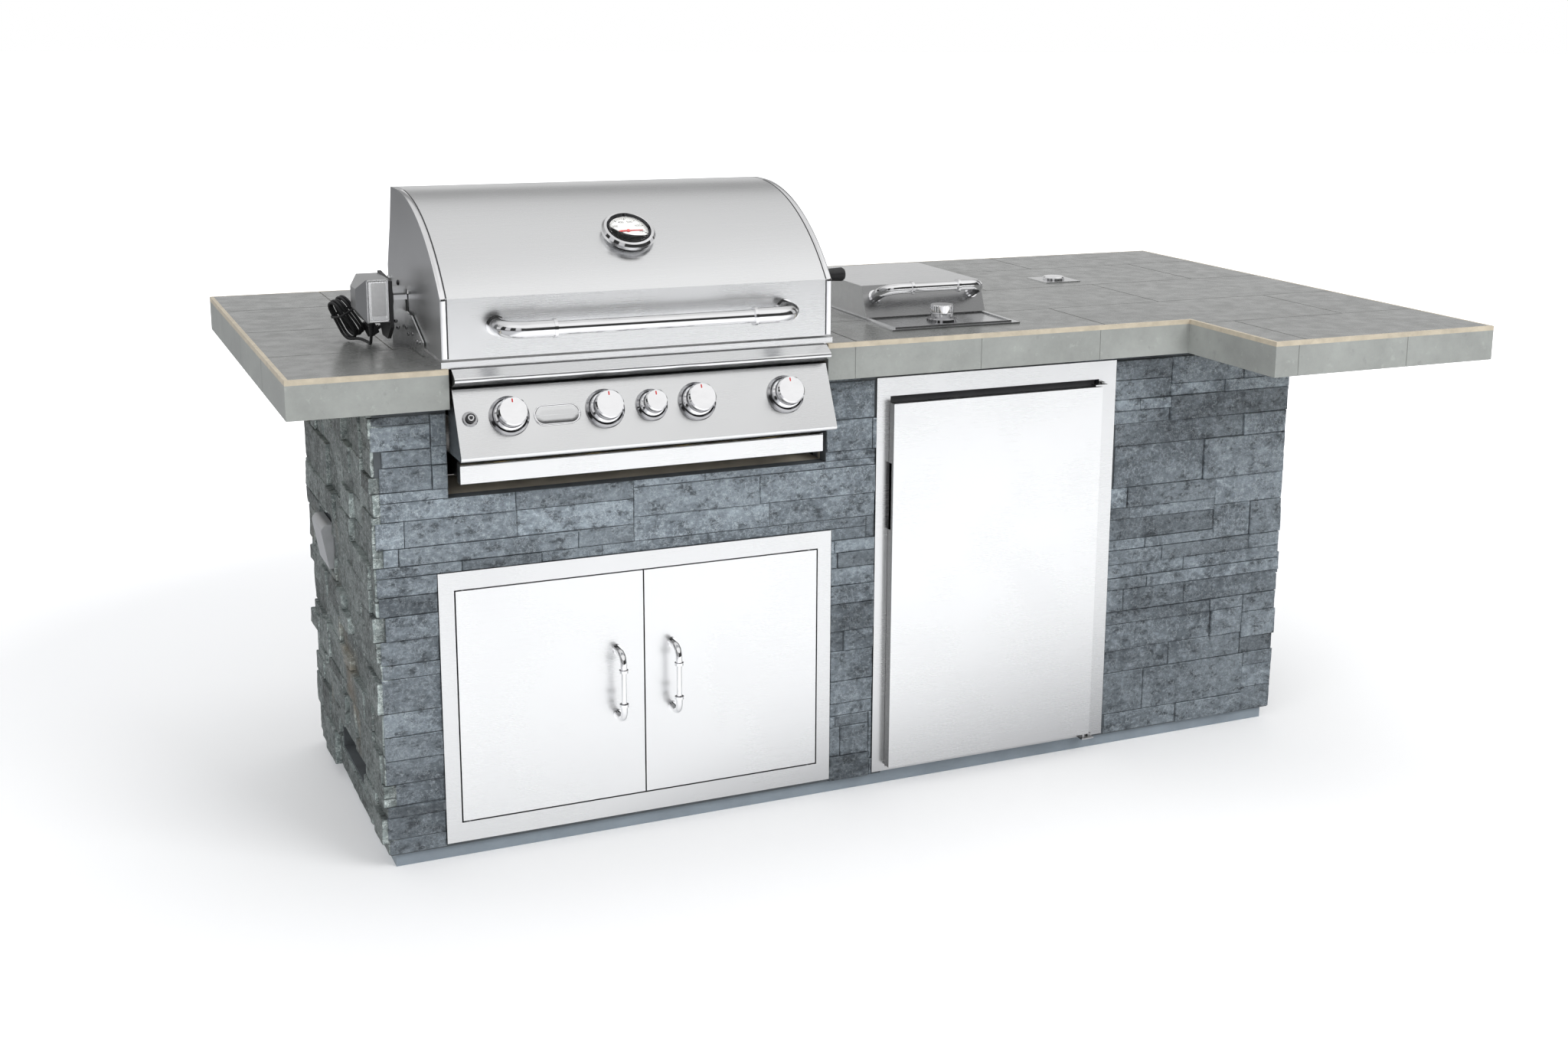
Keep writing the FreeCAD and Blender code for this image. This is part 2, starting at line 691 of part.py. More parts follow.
def build_grill_body():
    """Firebox with its rim, ledges, runners and back shield, and what stands inside it."""
    sheet = "grill_sheet"
    walls = cut(firebox_block("firebox_floor", f"{RIM_TOP} - {sheet}"),
                firebox_block(f"firebox_floor + {sheet}", f"{RIM_TOP} + 1", sheet))
    grease_slot = block("grill_centre - firebox_width / 2 + 168", "grill_centre + firebox_width / 2 - 168",
                        "firebox_front + 90", "firebox_back - 90", "firebox_floor - 1",
                        f"firebox_floor + {sheet} + 1")
    rim = cut(block(RIM_LEFT, RIM_RIGHT, "rim_front", "rim_back", "counter_height", RIM_TOP),
              block(f"{RIM_LEFT} + {sheet}", f"{RIM_RIGHT} - {sheet}", f"rim_front + {sheet}",
                    f"rim_back - {sheet}", "counter_height - 1", f"{RIM_TOP} - {sheet}"),
              firebox_block(f"{RIM_TOP} - {sheet} - 1", f"{RIM_TOP} + 1", sheet))
    pieces = [walls, rim]
    for drop in ("(grate_drop + grate_thickness)", "(tamer_drop + 12)"):
        level = f"({RIM_TOP} - {drop})"
        ledge = cut(firebox_block(f"{level} - {sheet}", level, "grill_sheet / 2"),
                    firebox_block(f"{level} - {sheet} - 1", f"{level} + 1", "10"))
        pieces.append(ledge)
    for side in ("-1", "1"):
        web = f"(grill_centre + {side} * (tray_width / 2 + 6))"
        toe = f"(grill_centre + {side} * (tray_width / 2 - 8))"
        low, high = (web, toe) if side == "-1" else (toe, web)
        under = "tray_top - tray_face + 2"
        pieces.append(block(f"{web} - 1", f"{web} + 1", "firebox_front + 2", "firebox_back - 2",
                            f"{under} - {sheet}", "firebox_floor + 1"))
        pieces.append(block(low, high, "firebox_front + 2", "firebox_back - 2", f"{under} - {sheet}", under))
    shield = block(BOX_LEFT, BOX_RIGHT, "firebox_back - 18", f"firebox_back - 18 + {sheet}",
                   f"{RIM_TOP} - {sheet}", f"{RIM_TOP} + shield_height")
    shield_foot = block(BOX_LEFT, BOX_RIGHT, "firebox_back - 18", "firebox_back",
                        f"{RIM_TOP} - {sheet}", RIM_TOP)
    pieces += [shield, shield_foot]
    for side in ("-1", "1"):
        cheek = f"(grill_centre + ({side}) * (panel_width / 2 - {sheet}))"
        inner = f"({cheek} - ({side}) * 3)"
        low, high = (cheek, inner) if side == "-1" else (inner, cheek)
        pieces.append(block(low, high, "panel_front + 14", "firebox_front + 1", "panel_top - 60",
                            f"panel_top - {sheet}"))
    plate = "end_plate"
    for side, edge in (("-1", HOOD_LEFT), ("1", HOOD_RIGHT)):
        inner = f"({edge} - {side} * ({plate} + 1.5))"
        far = f"({inner} - {side} * 3)"
        low, high = (far, inner) if side == "1" else (inner, far)
        pieces.append(block(low, high, f"{PIVOT_Y} - 11", f"{PIVOT_Y} + 11", f"{RIM_TOP} - {sheet}",
                            f"{PIVOT_Z} + 9"))
        outer = f"({edge} + {side} * 1.5)"
        start, finish = (outer, far) if side == "-1" else (far, outer)
        pieces.append(rod("X", start, PIVOT_Y, PIVOT_Z, "pivot_diameter / 2", f"{finish} - {start}"))
        head = f"({outer} - 3)" if side == "-1" else outer
        pieces.append(rod("X", head, PIVOT_Y, PIVOT_Z, "pivot_diameter * 0.85", "3"))
    body = fuse(*pieces)
    ports = [rod("Y", f"grill_centre + {place}", "firebox_front - 1", f"{RIM_TOP} - burner_drop",
                 f"burner_diameter / 2 + {SEATED}", f"{sheet} + 2") for place in MAIN_PLACES]
    node("grill_firebox", cut(body, grease_slot, *ports))

    burners = []
    for place in MAIN_PLACES:
        level = f"{RIM_TOP} - burner_drop"
        length = f"firebox_back - {sheet} - firebox_front + 20 - {SEATED}"
        outer = rod("Y", f"grill_centre + {place}", "firebox_front - 20", level, "burner_diameter / 2",
                    length)
        slots = [block(f"grill_centre + {place} - burner_diameter / 2 - 1",
                       f"grill_centre + {place} + burner_diameter / 2 + 1",
                       f"firebox_front + {40 + 84 * step}", f"firebox_front + {43 + 84 * step}",
                       f"{level} + 6", f"{level} + 15") for step in range(4)]
        burners.append(cut(outer, *slots))
    node("main_burners", group(*burners))

    tamers = []
    for place in MAIN_PLACES:
        crest = f"({RIM_TOP} - tamer_drop + 18)"
        foot = f"({RIM_TOP} - tamer_drop - 12 + {SEATED})"
        middle = f"(grill_centre + {place})"
        wing = "(burner_pitch / 2 - 26)"
        tamers.append(along_y([
            (f"{middle} - {wing}", foot), (f"{middle} - {wing} + 2.4", foot), (middle, f"{crest} - 2"),
            (f"{middle} + {wing} - 2.4", foot), (f"{middle} + {wing}", foot), (middle, crest)],
            f"firebox_front + {sheet} + 1", f"firebox_back - {sheet} - 1"))
    node("flame_tamers", group(*tamers))

    grates = []
    for index in range(4):
        middle = f"(grill_centre + {index - 1.5} * (firebox_width - 12) / 4)"
        half = "((firebox_width - 12) / 8 - 1)"
        low = f"({RIM_TOP} - grate_drop - grate_thickness + {SEATED})"
        front, back = f"firebox_front + {sheet} + 1", f"firebox_back - {sheet} - 1"
        plate = block(f"{middle} - {half}", f"{middle} + {half}", front, back, low,
                      f"{low} + grate_thickness")
        slots = []
        for step in range(9):
            slot_left = f"({middle} - {half} + 20.9 + {step} * (2 * {half} - 49.8) / 8)"
            slots.append(block(slot_left, f"{slot_left} + 8", f"{front} + 12", f"{back} - 12", f"{low} - 1",
                               f"{low} + grate_thickness + 1"))
        grates.append(cut(plate, *slots))
    node("cooking_grates", group(*grates))

    shelf = f"({SPIT_Z} + 28)"
    rack_left = "(grill_centre - firebox_width / 2 + 58)"
    rack_right = "(grill_centre + firebox_width / 2 - 58)"
    wires = []
    back, front = "firebox_back - 26", "firebox_back - 110"
    for y in (front, f"{front} + 42", back):
        wires.append(block(rack_left, rack_right, f"{y} - 3", f"{y} + 3", f"{shelf} - 3", f"{shelf} + 3"))
    for step in range(12):
        x = f"({rack_left} + {step} * (firebox_width - 116) / 11)"
        wires.append(block(f"{x} - 2", f"{x} + 2", front, back, shelf, f"{shelf} + 4.5"))
    for x, start, finish in ((rack_left, f"{BOX_LEFT} - 3", f"{rack_left} + 3"),
                             (rack_right, f"{rack_right} - 3", f"{BOX_RIGHT} + 3")):
        wires.append(block(f"{x} - 3", f"{x} + 3", front, back, f"{shelf} - 3", f"{shelf} + 3"))
        for y in (front, back):
            wires.append(block(f"{x} - 3", f"{x} + 3", f"{y} - 3", f"{y} + 3", f"{RIM_TOP} + {SEATED}",
                               shelf))
            wires.append(block(start, finish, f"{y} - 3", f"{y} + 3", f"{RIM_TOP} + {SEATED}",
                               f"{RIM_TOP} + {SEATED} + 3"))
    node("warming_rack", fuse(*wires))

    face = "firebox_back - 18"
    half, glow = "(firebox_width / 2 - 118)", "(firebox_width / 2 - 126)"
    rear = cut(block(f"grill_centre - {half}", f"grill_centre + {half}", f"{face} - 22", face,
                     f"{RIM_TOP} + 4", f"{RIM_TOP} + shield_height - 2"),
               block(f"grill_centre - {glow}", f"grill_centre + {glow}", f"{face} - 23", f"{face} - 8",
                     f"{RIM_TOP} + 12", f"{RIM_TOP} + shield_height - 10"))
    ribs = [block(f"grill_centre + {step} * {glow} / 6 - 2", f"grill_centre + {step} * {glow} / 6 + 2",
                  f"{face} - 20", f"{face} - 8", f"{RIM_TOP} + 12", f"{RIM_TOP} + shield_height - 10")
            for step in range(-5, 6)]
    node("rear_burner", fuse(rear, *ribs))


def build_control_panel():
    """Bullnose, leaning control panel, gas pipe with its valves, bezels, knobs and igniter."""
    sheet = "grill_sheet"
    left, right = "(grill_centre - panel_width / 2)", "(grill_centre + panel_width / 2)"
    back = "panel_front + panel_depth"
    nose_top = "counter_height"
    nose_low = "(counter_height - bullnose_height)"
    nose_front = "(panel_front - bullnose_reach)"
    nose = along_x([
        (back, nose_low), ("panel_front", nose_low), (nose_front, f"{nose_low} + 13", "-7"),
        (f"{nose_front} + 1", f"{nose_low} + 22"), ("panel_front - 4", nose_top), (back, nose_top)],
        left, right)
    pocket(nose, "YZ_Plane", [
        (f"{back} + 1", f"{nose_low} + {sheet}"), ("panel_front + 1", f"{nose_low} + {sheet}"),
        (f"{nose_front} + 3", f"{nose_low} + 15"), (f"{nose_front} + 3", f"{nose_low} + 21"),
        ("panel_front - 3", f"{nose_top} - {sheet}"), (f"{back} + 1", f"{nose_top} - {sheet}")],
        f"{left} + {sheet}", f"panel_width - 2 * {sheet}")
    node("panel_bullnose", nose)

    foot_y, foot_z = panel_point("panel_face")
    lip_y, lip_z = f"{foot_y} + lip_radius * 1.3", f"{foot_z} - lip_radius * 1.1"
    panel = along_x([
        (back, "panel_top"), ("panel_front", "panel_top"), (foot_y, foot_z, "lip_radius"), (lip_y, lip_z),
        (back, lip_z)], left, right)
    pocket(panel, "YZ_Plane", [
        (f"{back} + 1", f"panel_top - {sheet}"), ("panel_front + 1.3", f"panel_top - {sheet}"),
        (f"{foot_y} + 2.3", foot_z), (lip_y, f"{lip_z} + {sheet}"), (f"{foot_y} + 24", f"{lip_z} + {sheet}"),
        (f"{foot_y} + 24", f"{lip_z} - 1"), (f"{back} + 1", f"{lip_z} - 1")],
        f"{left} + {sheet}", f"panel_width - 2 * {sheet}")
    stems = [on_panel(rod("Z", "0", "0", "0", "stem_diameter / 2 + 3", "8"), f"grill_centre + {place}",
                      "knob_along", "-6") for place in KNOB_PLACES]
    igniter_hole = on_panel(rod("Z", "0", "0", "0", f"igniter_diameter / 2 - 3 + {SEATED}", "8"),
                            "grill_centre - igniter_offset", "knob_along", "-6")
    node("control_panel", cut(panel, *stems, igniter_hole))

    def bezel(diameter, hole):
        radius = f"({diameter}) / 2"
        return turned([(hole, "0"), (radius, "0"), (f"{radius} - 1", "bezel_height - 3"),
                       (f"{radius} - 5", "bezel_height"), (f"{radius} - 8", "bezel_height - 3"),
                       (hole, "bezel_height - 3")])

    bezels = []
    for place in KNOB_PLACES:
        small = place == "0"
        ring = bezel("small_bezel_diameter" if small else "bezel_diameter", "stem_diameter / 2 + 3")
        bezels.append(on_panel(ring, f"grill_centre + {place}", "knob_along"))
    side_ring = bezel("side_knob_diameter + 16", "stem_diameter / 2 + 3")
    bezels.append(move(side_ring, "burner_left + burner_width / 2", "burner_front + side_knob_setback",
                       "counter_height + burner_rim"))
    collar = turned([(f"igniter_diameter / 2 + {SEATED}", "0"), ("igniter_diameter / 2 + 6", "0"),
                     ("igniter_diameter / 2 + 4", "4"), (f"igniter_diameter / 2 + {SEATED}", "4")])
    bezels.append(on_panel(collar, "grill_centre - igniter_offset", "knob_along"))
    node("knob_bezels", group(*bezels))

    def knob(diameter, depth):
        """A knob with a skirt, a waist and a flat face, bored for its stem."""
        radius = f"({diameter}) / 2"
        foot = "(bezel_height - 3 + 0.6)"
        bore = f"stem_diameter / 2 + {RUNNING}"
        body = turned([
            (bore, foot), (f"{radius} + 2", foot), (f"{radius} + 3.5", f"{foot} + 2"),
            (f"{radius} + 2", f"{foot} + 7"), (f"{radius} - 1.5", f"{foot} + 10"), (radius, f"{foot} + 14"),
            (radius, f"{foot} + {depth} - 3"), (f"{radius} - 2.5", f"{foot} + {depth}"),
            ("0", f"{foot} + {depth}"), ("0", "20"), (bore, "20")])
        return body

    names = ["burner_knob_1", "burner_knob_2", "rear_burner_knob", "burner_knob_3", "burner_knob_4"]
    for name, place in zip(names, KNOB_PLACES):
        body = knob("small_knob_diameter" if place == "0" else "knob_diameter", "knob_depth")
        node(name, on_panel(body, f"grill_centre + {place}", "knob_along"))

    pipe_lift = "-72"
    pipe_y, pipe_z = panel_point("knob_along")
    pipe_y, pipe_z = f"({pipe_y} + 72 * cos(panel_lean))", f"({pipe_z} - 72 * sin(panel_lean))"
    pieces = [rod("X", "grill_centre - panel_width / 2 + 12", pipe_y, pipe_z, "10", "panel_width - 24")]
    for place in KNOB_PLACES:
        x = f"grill_centre + {place}"
        valve = along_z(rectangle("-12", "12", "-12", "12"), "0", "50")
        pieces.append(on_panel(valve, x, "knob_along", pipe_lift))
        stem = rod("Z", "0", "0", "0", "stem_diameter / 2", "90")
        pieces.append(on_panel(stem, x, "knob_along", pipe_lift))
    node("gas_manifold", fuse(*pieces))

    radius = "igniter_diameter / 2"
    button = turned([
        ("0", "-12"), (f"{radius} - 3", "-12"), (f"{radius} - 3", "4.5"), (radius, "4.5"),
        (radius, "9"), (f"{radius} - 1.5", "11"), ("0", "11")])
    node("igniter_button", on_panel(button, "grill_centre - igniter_offset", "knob_along"))


def build_drip_tray():
    """Drip tray: a folded front with a pan behind it that hangs between the firebox's runners."""
    sheet = "grill_sheet"
    left, right = "(grill_centre - tray_width / 2)", "(grill_centre + tray_width / 2)"
    low = "(tray_top - tray_face)"
    face_back = "(tray_front + 26)"
    front = along_x([
        ("tray_front + 3", low, "-3"), ("tray_front", f"{low} + 3"), ("tray_front", "tray_top - 4", "-4"),
        ("tray_front + 4", "tray_top"), (face_back, "tray_top"), (face_back, low)], left, right)
    pocket(front, "YZ_Plane", rectangle(f"tray_front + {sheet}", f"{face_back} + 1", f"{low} + {sheet}",
                                        f"tray_top - {sheet}"),
           f"{left} + {sheet}", f"tray_width - 2 * {sheet}")
    # The pan rides on the runners' toes and stops short of their webs.
    floor = f"({low} + 2 + {SEATED})"
    side = "6.5"
    tray_end = "(tray_front + tray_depth)"
    pan = cut(
        block(f"{left} + {side}", f"{right} - {side}", "tray_front + 1", tray_end, floor, "tray_top - 2"),
        block(f"{left} + {side} + {sheet}", f"{right} - {side} - {sheet}", face_back, f"{tray_end} - {sheet}",
              f"{floor} + {sheet}", "tray_top"),
        block(f"{left} + {side} + {sheet}", f"{right} - {side} - {sheet}", f"tray_front + {sheet}",
              f"{face_back} + 1", f"{floor} + {sheet}", f"tray_top - {sheet}"))
    node("drip_tray", fuse(front, pan))


def hood_corners():
    """The hood's side profile as (y, z): upright face, rolled top, flat crown and sloping back."""
    return [
        ("hood_front", HOOD_BOTTOM),
        ("hood_front", f"{HOOD_BOTTOM} + hood_face", f"-{ROLL_RADIUS}"),
        (ROLL_END, HOOD_TOP),
        (f"{ROLL_END} + hood_flat", HOOD_TOP),
        (f"{ROLL_END} + hood_flat + 22", f"{HOOD_TOP} - hood_shoulder"),
        ("hood_back", f"{HOOD_TOP} - hood_shoulder - 94"),
    ]


def hood_hollow():
    """The inside of the profile, one sheet thickness in, open below the skirt."""
    sheet = "hood_sheet"
    front = f"(hood_front + {sheet})"
    centre_z = f"({HOOD_TOP} - {ROLL_RADIUS})"
    start = f"({centre_z} + sqrt(({ROLL_RADIUS} - {sheet}) ^ 2 - ({ROLL_END} - {front}) ^ 2))"
    return [
        (front, f"{HOOD_BOTTOM} - 1"),
        (front, start, f"-({ROLL_RADIUS} - {sheet})"),
        (ROLL_END, f"{HOOD_TOP} - {sheet}"),
        (f"{ROLL_END} + hood_flat - {sheet}", f"{HOOD_TOP} - {sheet}"),
        (f"{ROLL_END} + hood_flat + 22 - 1.3 * {sheet}", f"{HOOD_TOP} - hood_shoulder"),
        (f"hood_back - 1.2 * {sheet}", f"{HOOD_TOP} - hood_shoulder - 94"),
        (f"hood_back - 1.2 * {sheet}", f"{HOOD_BOTTOM} + hood_skirt"),
        ("hood_back + 1", f"{HOOD_BOTTOM} + hood_skirt"),
        ("hood_back + 1", f"{HOOD_BOTTOM} - 1"),
    ]


def bow_handle(length, reach, bend, thick, bar, sleeve):
    """A cast handle along X: two swept elbows with collars, and a slimmer bar between them."""
    half = f"(({length}) / 2)"
    radius = f"({thick}) / 2"
    pieces = []
    for side, quarter in (("-1", Rotation(Vector(1, 0, 0), 90) * Rotation(Vector(0, 0, 1), 90)),
                          ("1", Rotation(Vector(1, 0, 0), 90))):
        post = f"({side} * {half})"
        pieces.append(rod("Z", post, "0", "0", f"{radius} + 3", "3"))
        pieces.append(rod("Z", post, "0", "0", radius, f"({reach}) - ({bend})"))
        elbow = doc.addObject("Part::Torus", "Elbow")
        bind(elbow, {"Radius1": bend, "Radius2": radius})
        elbow.Angle3 = 90
        pieces.append(move(elbow, f"{side} * ({half} - ({bend}))", "0", f"({reach}) - ({bend})", quarter))
        outer = f"({half} - ({bend}))"
        inner = f"({half} - ({sleeve}))"
        start = f"-{outer}" if side == "-1" else inner
        pieces.append(rod("X", start, "0", reach, radius, f"{outer} - {inner}"))
        collar = f"-{inner} - 3" if side == "-1" else f"{inner} - 3"
        pieces.append(rod("X", collar, "0", reach, f"{radius} + 2.5", "6"))
    pieces.append(rod("X", f"-{half} + ({sleeve})", "0", reach, f"({bar}) / 2", f"{length} - 2 * ({sleeve})"))
    return fuse(*pieces)


def build_hood():
    """Rolled hood skin, polished end caps with their side plates, handle and thermometer."""
    cap = "end_cap_width"
    shell = along_x(hood_corners() + [("hood_back", HOOD_BOTTOM)], f"{HOOD_LEFT} + {cap}",
                    f"{HOOD_RIGHT} - {cap}")
    pocket(shell, "YZ_Plane", hood_hollow(), f"{HOOD_LEFT} + {cap} - 1", f"hood_width - 2 * {cap} + 2")
    node("hood_shell", shell)

    caps = []
    for side in ("left", "right"):
        start = HOOD_LEFT if side == "left" else f"{HOOD_RIGHT} - {cap}"
        heel = [("hood_back", f"{HOOD_BOTTOM} + 4"), ("hood_back - 4", HOOD_BOTTOM)]
        body = along_x(hood_corners() + heel, start, f"{start} + {cap}")
        hollow_start = f"{start} + end_plate" if side == "left" else f"{start} - 1"
        pocket(body, "YZ_Plane", hood_hollow(), hollow_start, f"{cap} - end_plate + 1")
        # The slot widens downward, because the spit passes it on an arc about the pivot.
        head, foot = f"({SPIT_Z} + 14)", f"({HOOD_BOTTOM} - 2)"
        swing = f"sqrt(({PIVOT_Y} - spit_back) ^ 2 + ({PIVOT_Z} - {SPIT_Z}) ^ 2)"
        arc_foot = f"({PIVOT_Y} - sqrt(({swing}) ^ 2 - ({PIVOT_Z} - {foot}) ^ 2))"
        slot = along_x([
            ("spit_back - 12", foot), (f"{arc_foot} + 12", foot), ("spit_back + 12", head),
            ("spit_back - 12", head)], f"{start} - 1", f"{start} + {cap} + 1")
        hole = rod("X", f"{start} - 1", PIVOT_Y, PIVOT_Z, f"pivot_diameter / 2 + {RUNNING}", f"{cap} + 2")
        caps.append(cut(body, slot, hole))
    node("hood_ends", group(*caps))

    handle = bow_handle("handle_span", "handle_reach", "45", "handle_thick", "handle_bar", "handle_sleeve")
    handle.Placement = FreeCAD.Placement(Vector(), Rotation(Vector(1, 0, 0), 90))
    node("hood_handle", move(handle, "grill_centre", "hood_front", f"{HOOD_BOTTOM} + handle_rise"))

    # The thermometer sits square on the rolled top, a share of the way up the roll.
    across = "(gauge_along * hood_roll_depth)"
    slope = f"asin((hood_roll_depth - {across}) / {ROLL_RADIUS})"
    gauge_y = f"(hood_front + {across})"
    gauge_z = f"({HOOD_TOP} - {ROLL_RADIUS} + {ROLL_RADIUS} * cos({slope}))"

    def on_hood(item, lift):
        item.Placement = FreeCAD.Placement(Vector(), Rotation(Vector(1, 0, 0), 30))
        bind(item, {"Placement.Rotation.Angle": slope})
        return move(item, "grill_centre", f"{gauge_y} - ({lift}) * sin({slope})",
                    f"{gauge_z} + ({lift}) * cos({slope})")

    radius = "(gauge_diameter / 2)"
    case = turned([
        ("0", "3"), (f"{radius} - 12", "3"), (f"{radius} - 5", "6"), (radius, "10"), (radius, "17"),
        (f"{radius} - 4", "22"), (f"{radius} - 9", "23"), (f"{radius} - 14", "19"), (f"{radius} - 14", "14"),
        ("2.05", "14"), ("2.05", "11"), ("0", "11")])
    node("thermometer_case", on_hood(case, "-1"))
    needle = turned([("0", "12"), ("2", "12"), ("2", "14.6"), ("3.5", "14.6"), ("3.5", "16"), ("0", "16")])
    pad(needle, "XY_Plane", [("-18", "-1.6"), ("-18", "1.6"), ("30", "0.5"), ("30", "-0.5")], "14.8", "1")
    node("thermometer_needle", on_hood(needle, "-1"))


def build_rotisserie():
    """Brackets, motor with its black back plate, spit with forks, and the grip."""
    sheet = "bracket_sheet"
    side = RIM_LEFT
    web_front = "(spit_back + 8)"
    outer = "(motor_right + motor_plate + socket_length + 1)"
    top = f"({SPIT_Z} + 20)"
    web = block(outer, side, web_front, f"{web_front} + {sheet}", "counter_height", top)
    rear = block(outer, f"{outer} + {sheet}", web_front, f"{web_front} + 90", "counter_height", top)
    cheek = along_x([
        (web_front, "counter_height"), (f"{web_front} - 155", "counter_height + 2"),
        (f"{web_front} - 160", f"{RIM_TOP} + 16"), (f"{web_front} - 60", f"{RIM_TOP} + 55"),
        (web_front, f"{RIM_TOP} + 57")], f"{side} - {sheet}", side)
    far = RIM_RIGHT
    cradle = along_x(rectangle("spit_back - 22", "spit_back + 22", "counter_height", f"{SPIT_Z} + 14"),
                     far, f"{far} + {sheet}")
    throat = fuse(rod("X", f"{far} - 1", "spit_back", SPIT_Z, f"spit_square / 2 + {SEATED}", f"{sheet} + 2"),
                  block(f"{far} - 1", f"{far} + {sheet} + 1", f"spit_back - spit_square / 2 - {SEATED}",
                        f"spit_back + spit_square / 2 + {SEATED}", SPIT_Z, f"{SPIT_Z} + 20"))
    node("spit_brackets", group(fuse(web, rear, cheek), cut(cradle, throat)))

    case = block("motor_left", "motor_right", "motor_front", "motor_back", "motor_bottom", "motor_top")
    nose = doc.addObject("Part::Wedge", "Nose")
    bind(nose, {"Xmin": "0", "Xmax": "motor_depth", "Zmin": "0", "Zmax": "motor_height", "Ymin": "0",
                "Ymax": "motor_nose", "X2min": "25", "X2max": "motor_depth - 25", "Z2min": "24",
                "Z2max": "motor_height - 20"})
    move(nose, "motor_left", "motor_front", "motor_bottom", Rotation(Vector(0, 0, 1), 90))
    node("motor_case", fuse(case, nose))

    plate = along_x([
        ("motor_front - 6", "motor_bottom - 10"), ("motor_front + 30", "motor_bottom - 38"),
        ("motor_back - 20", "motor_bottom - 38"), ("motor_back + 6", "motor_bottom - 12"),
        ("motor_back + 6", "motor_top + 4"), ("motor_front - 2", "motor_top - 4")],
        "motor_right", "motor_right + motor_plate")
    socket = cut(
        rod("X", "motor_right + motor_plate", "spit_back", SPIT_Z, "socket_diameter / 2", "socket_length"),
        rod("X", "motor_right + motor_plate + 2", "spit_back", SPIT_Z,
            f"spit_square / 2 + {RUNNING}", "socket_length"))
    posts = [rod("X", "motor_right + motor_plate", "spit_back + 24", z, "6",
                 f"{outer} - motor_right - motor_plate")
             for z in (f"{SPIT_Z} + 12", "motor_bottom - 10")]
    gland_x, gland_y = GLAND[0], GLAND[1]
    gland = fuse(
        rod("Z", gland_x, gland_y, "motor_bottom - 9", "cord_diameter / 2 + 2.5", "9"),
        block(gland_x, "motor_right + 1", f"{gland_y} - 4", f"{gland_y} + 4", "motor_bottom - 5",
              "motor_bottom"))
    node("motor_plate", fuse(plate, socket, *posts, gland))

    square = "spit_square"
    bar = block("motor_right + motor_plate + socket_length + 1", f"{RIM_RIGHT} - 6",
                f"spit_back - {square} / 2", f"spit_back + {square} / 2", f"{SPIT_Z} - {square} / 2",
                f"{SPIT_Z} + {square} / 2")
    tail = rod("X", "motor_right + motor_plate + 3", "spit_back", SPIT_Z, f"{square} / 2", "socket_length")
    journal = rod("X", f"{RIM_RIGHT} - 7", "spit_back", SPIT_Z, f"{square} / 2",
                  f"spit_end - grip_length - {RIM_RIGHT} + 20")
    pieces = [bar, tail, journal]
    for place, point in (("-150", "1"), ("150", "-1")):
        middle = f"(grill_centre + ({place}))"
        pieces.append(rod("X", f"{middle} - 9", "spit_back", SPIT_Z, "11", "18"))
        pieces.append(block(f"{middle} - 2", f"{middle} + 2", "spit_back - 32", "spit_back + 32",
                            f"{SPIT_Z} - 4", f"{SPIT_Z} + 4"))
        for offset in ("-30", "30"):
            start = middle if point == "1" else f"{middle} - 80"
            pieces.append(rod("X", start, f"spit_back + ({offset})", SPIT_Z, "2.5", "80"))
    node("spit_rod", fuse(*pieces))

    grip = turned([
        (f"{square} / 2", "0"), ("grip_diameter / 2 - 4", "0"), ("grip_diameter / 2", "5"),
        ("grip_diameter / 2 - 2.5", "grip_length / 2"), ("grip_diameter / 2", "grip_length - 5"),
        ("grip_diameter / 2 - 3", "grip_length"), ("0", "grip_length"), ("0", "20"), (f"{square} / 2", "20")])
    grip.Placement = FreeCAD.Placement(Vector(), AXIS_TURN["X"])
    node("spit_handle", move(grip, "spit_end - grip_length", "spit_back", SPIT_Z))


def line(start, end):
    return Part.LineSegment(start, end).toShape()


def bend(hub, first_arm, last_arm):
    """A quarter turn about a hub, from one arm's end to the other's."""
    middle = (first_arm + last_arm).normalize() * first_arm.Length
    return Part.Arc(hub + first_arm, hub + middle, hub + last_arm).toShape()


def drift(start, end, heading):
    """A run that leaves and arrives along one heading and shifts sideways by an S of two equal arcs."""
    gap = end - start
    length = gap.dot(heading)
    aside = gap - heading * length
    if aside.Length < 0.01:
        return [line(start, end)]
    radius = (length ** 2 + aside.Length ** 2) / (4 * aside.Length)
    half_turn = math.asin(length / 2 / radius) / 2
    across = Vector(aside).normalize()
    quarter = heading * radius * math.sin(half_turn) + across * radius * (1 - math.cos(half_turn))
    middle = (start + end) * 0.5
    first = Part.Arc(start, start + quarter, middle)
    last = Part.Arc(middle, end - quarter, end)
    return [first.toShape(), last.toShape()]


def tube(edges, heading):
    """An eight-sided cord swept along edges, starting square to a heading."""
    radius = number("cord_diameter") / 2
    path = Part.Wire(edges)
    frame = Rotation(Vector(0, 0, 1), heading)
    start = edges[0].Vertexes[0].Point
    eighth = math.pi / 4
    ring = [start + frame.multVec(Vector(math.cos(step * eighth), math.sin(step * eighth), 0)) * radius
            for step in range(9)]
    section = Part.makePolygon(ring)
    solid = Part.Solid(path.makePipeShell([section], True, False))
    area = Part.Face(section).Area
    print(f"cord of {path.Length:.0f} mm, volume off by {solid.Volume / (path.Length * area) - 1:.5f}")
    return solid


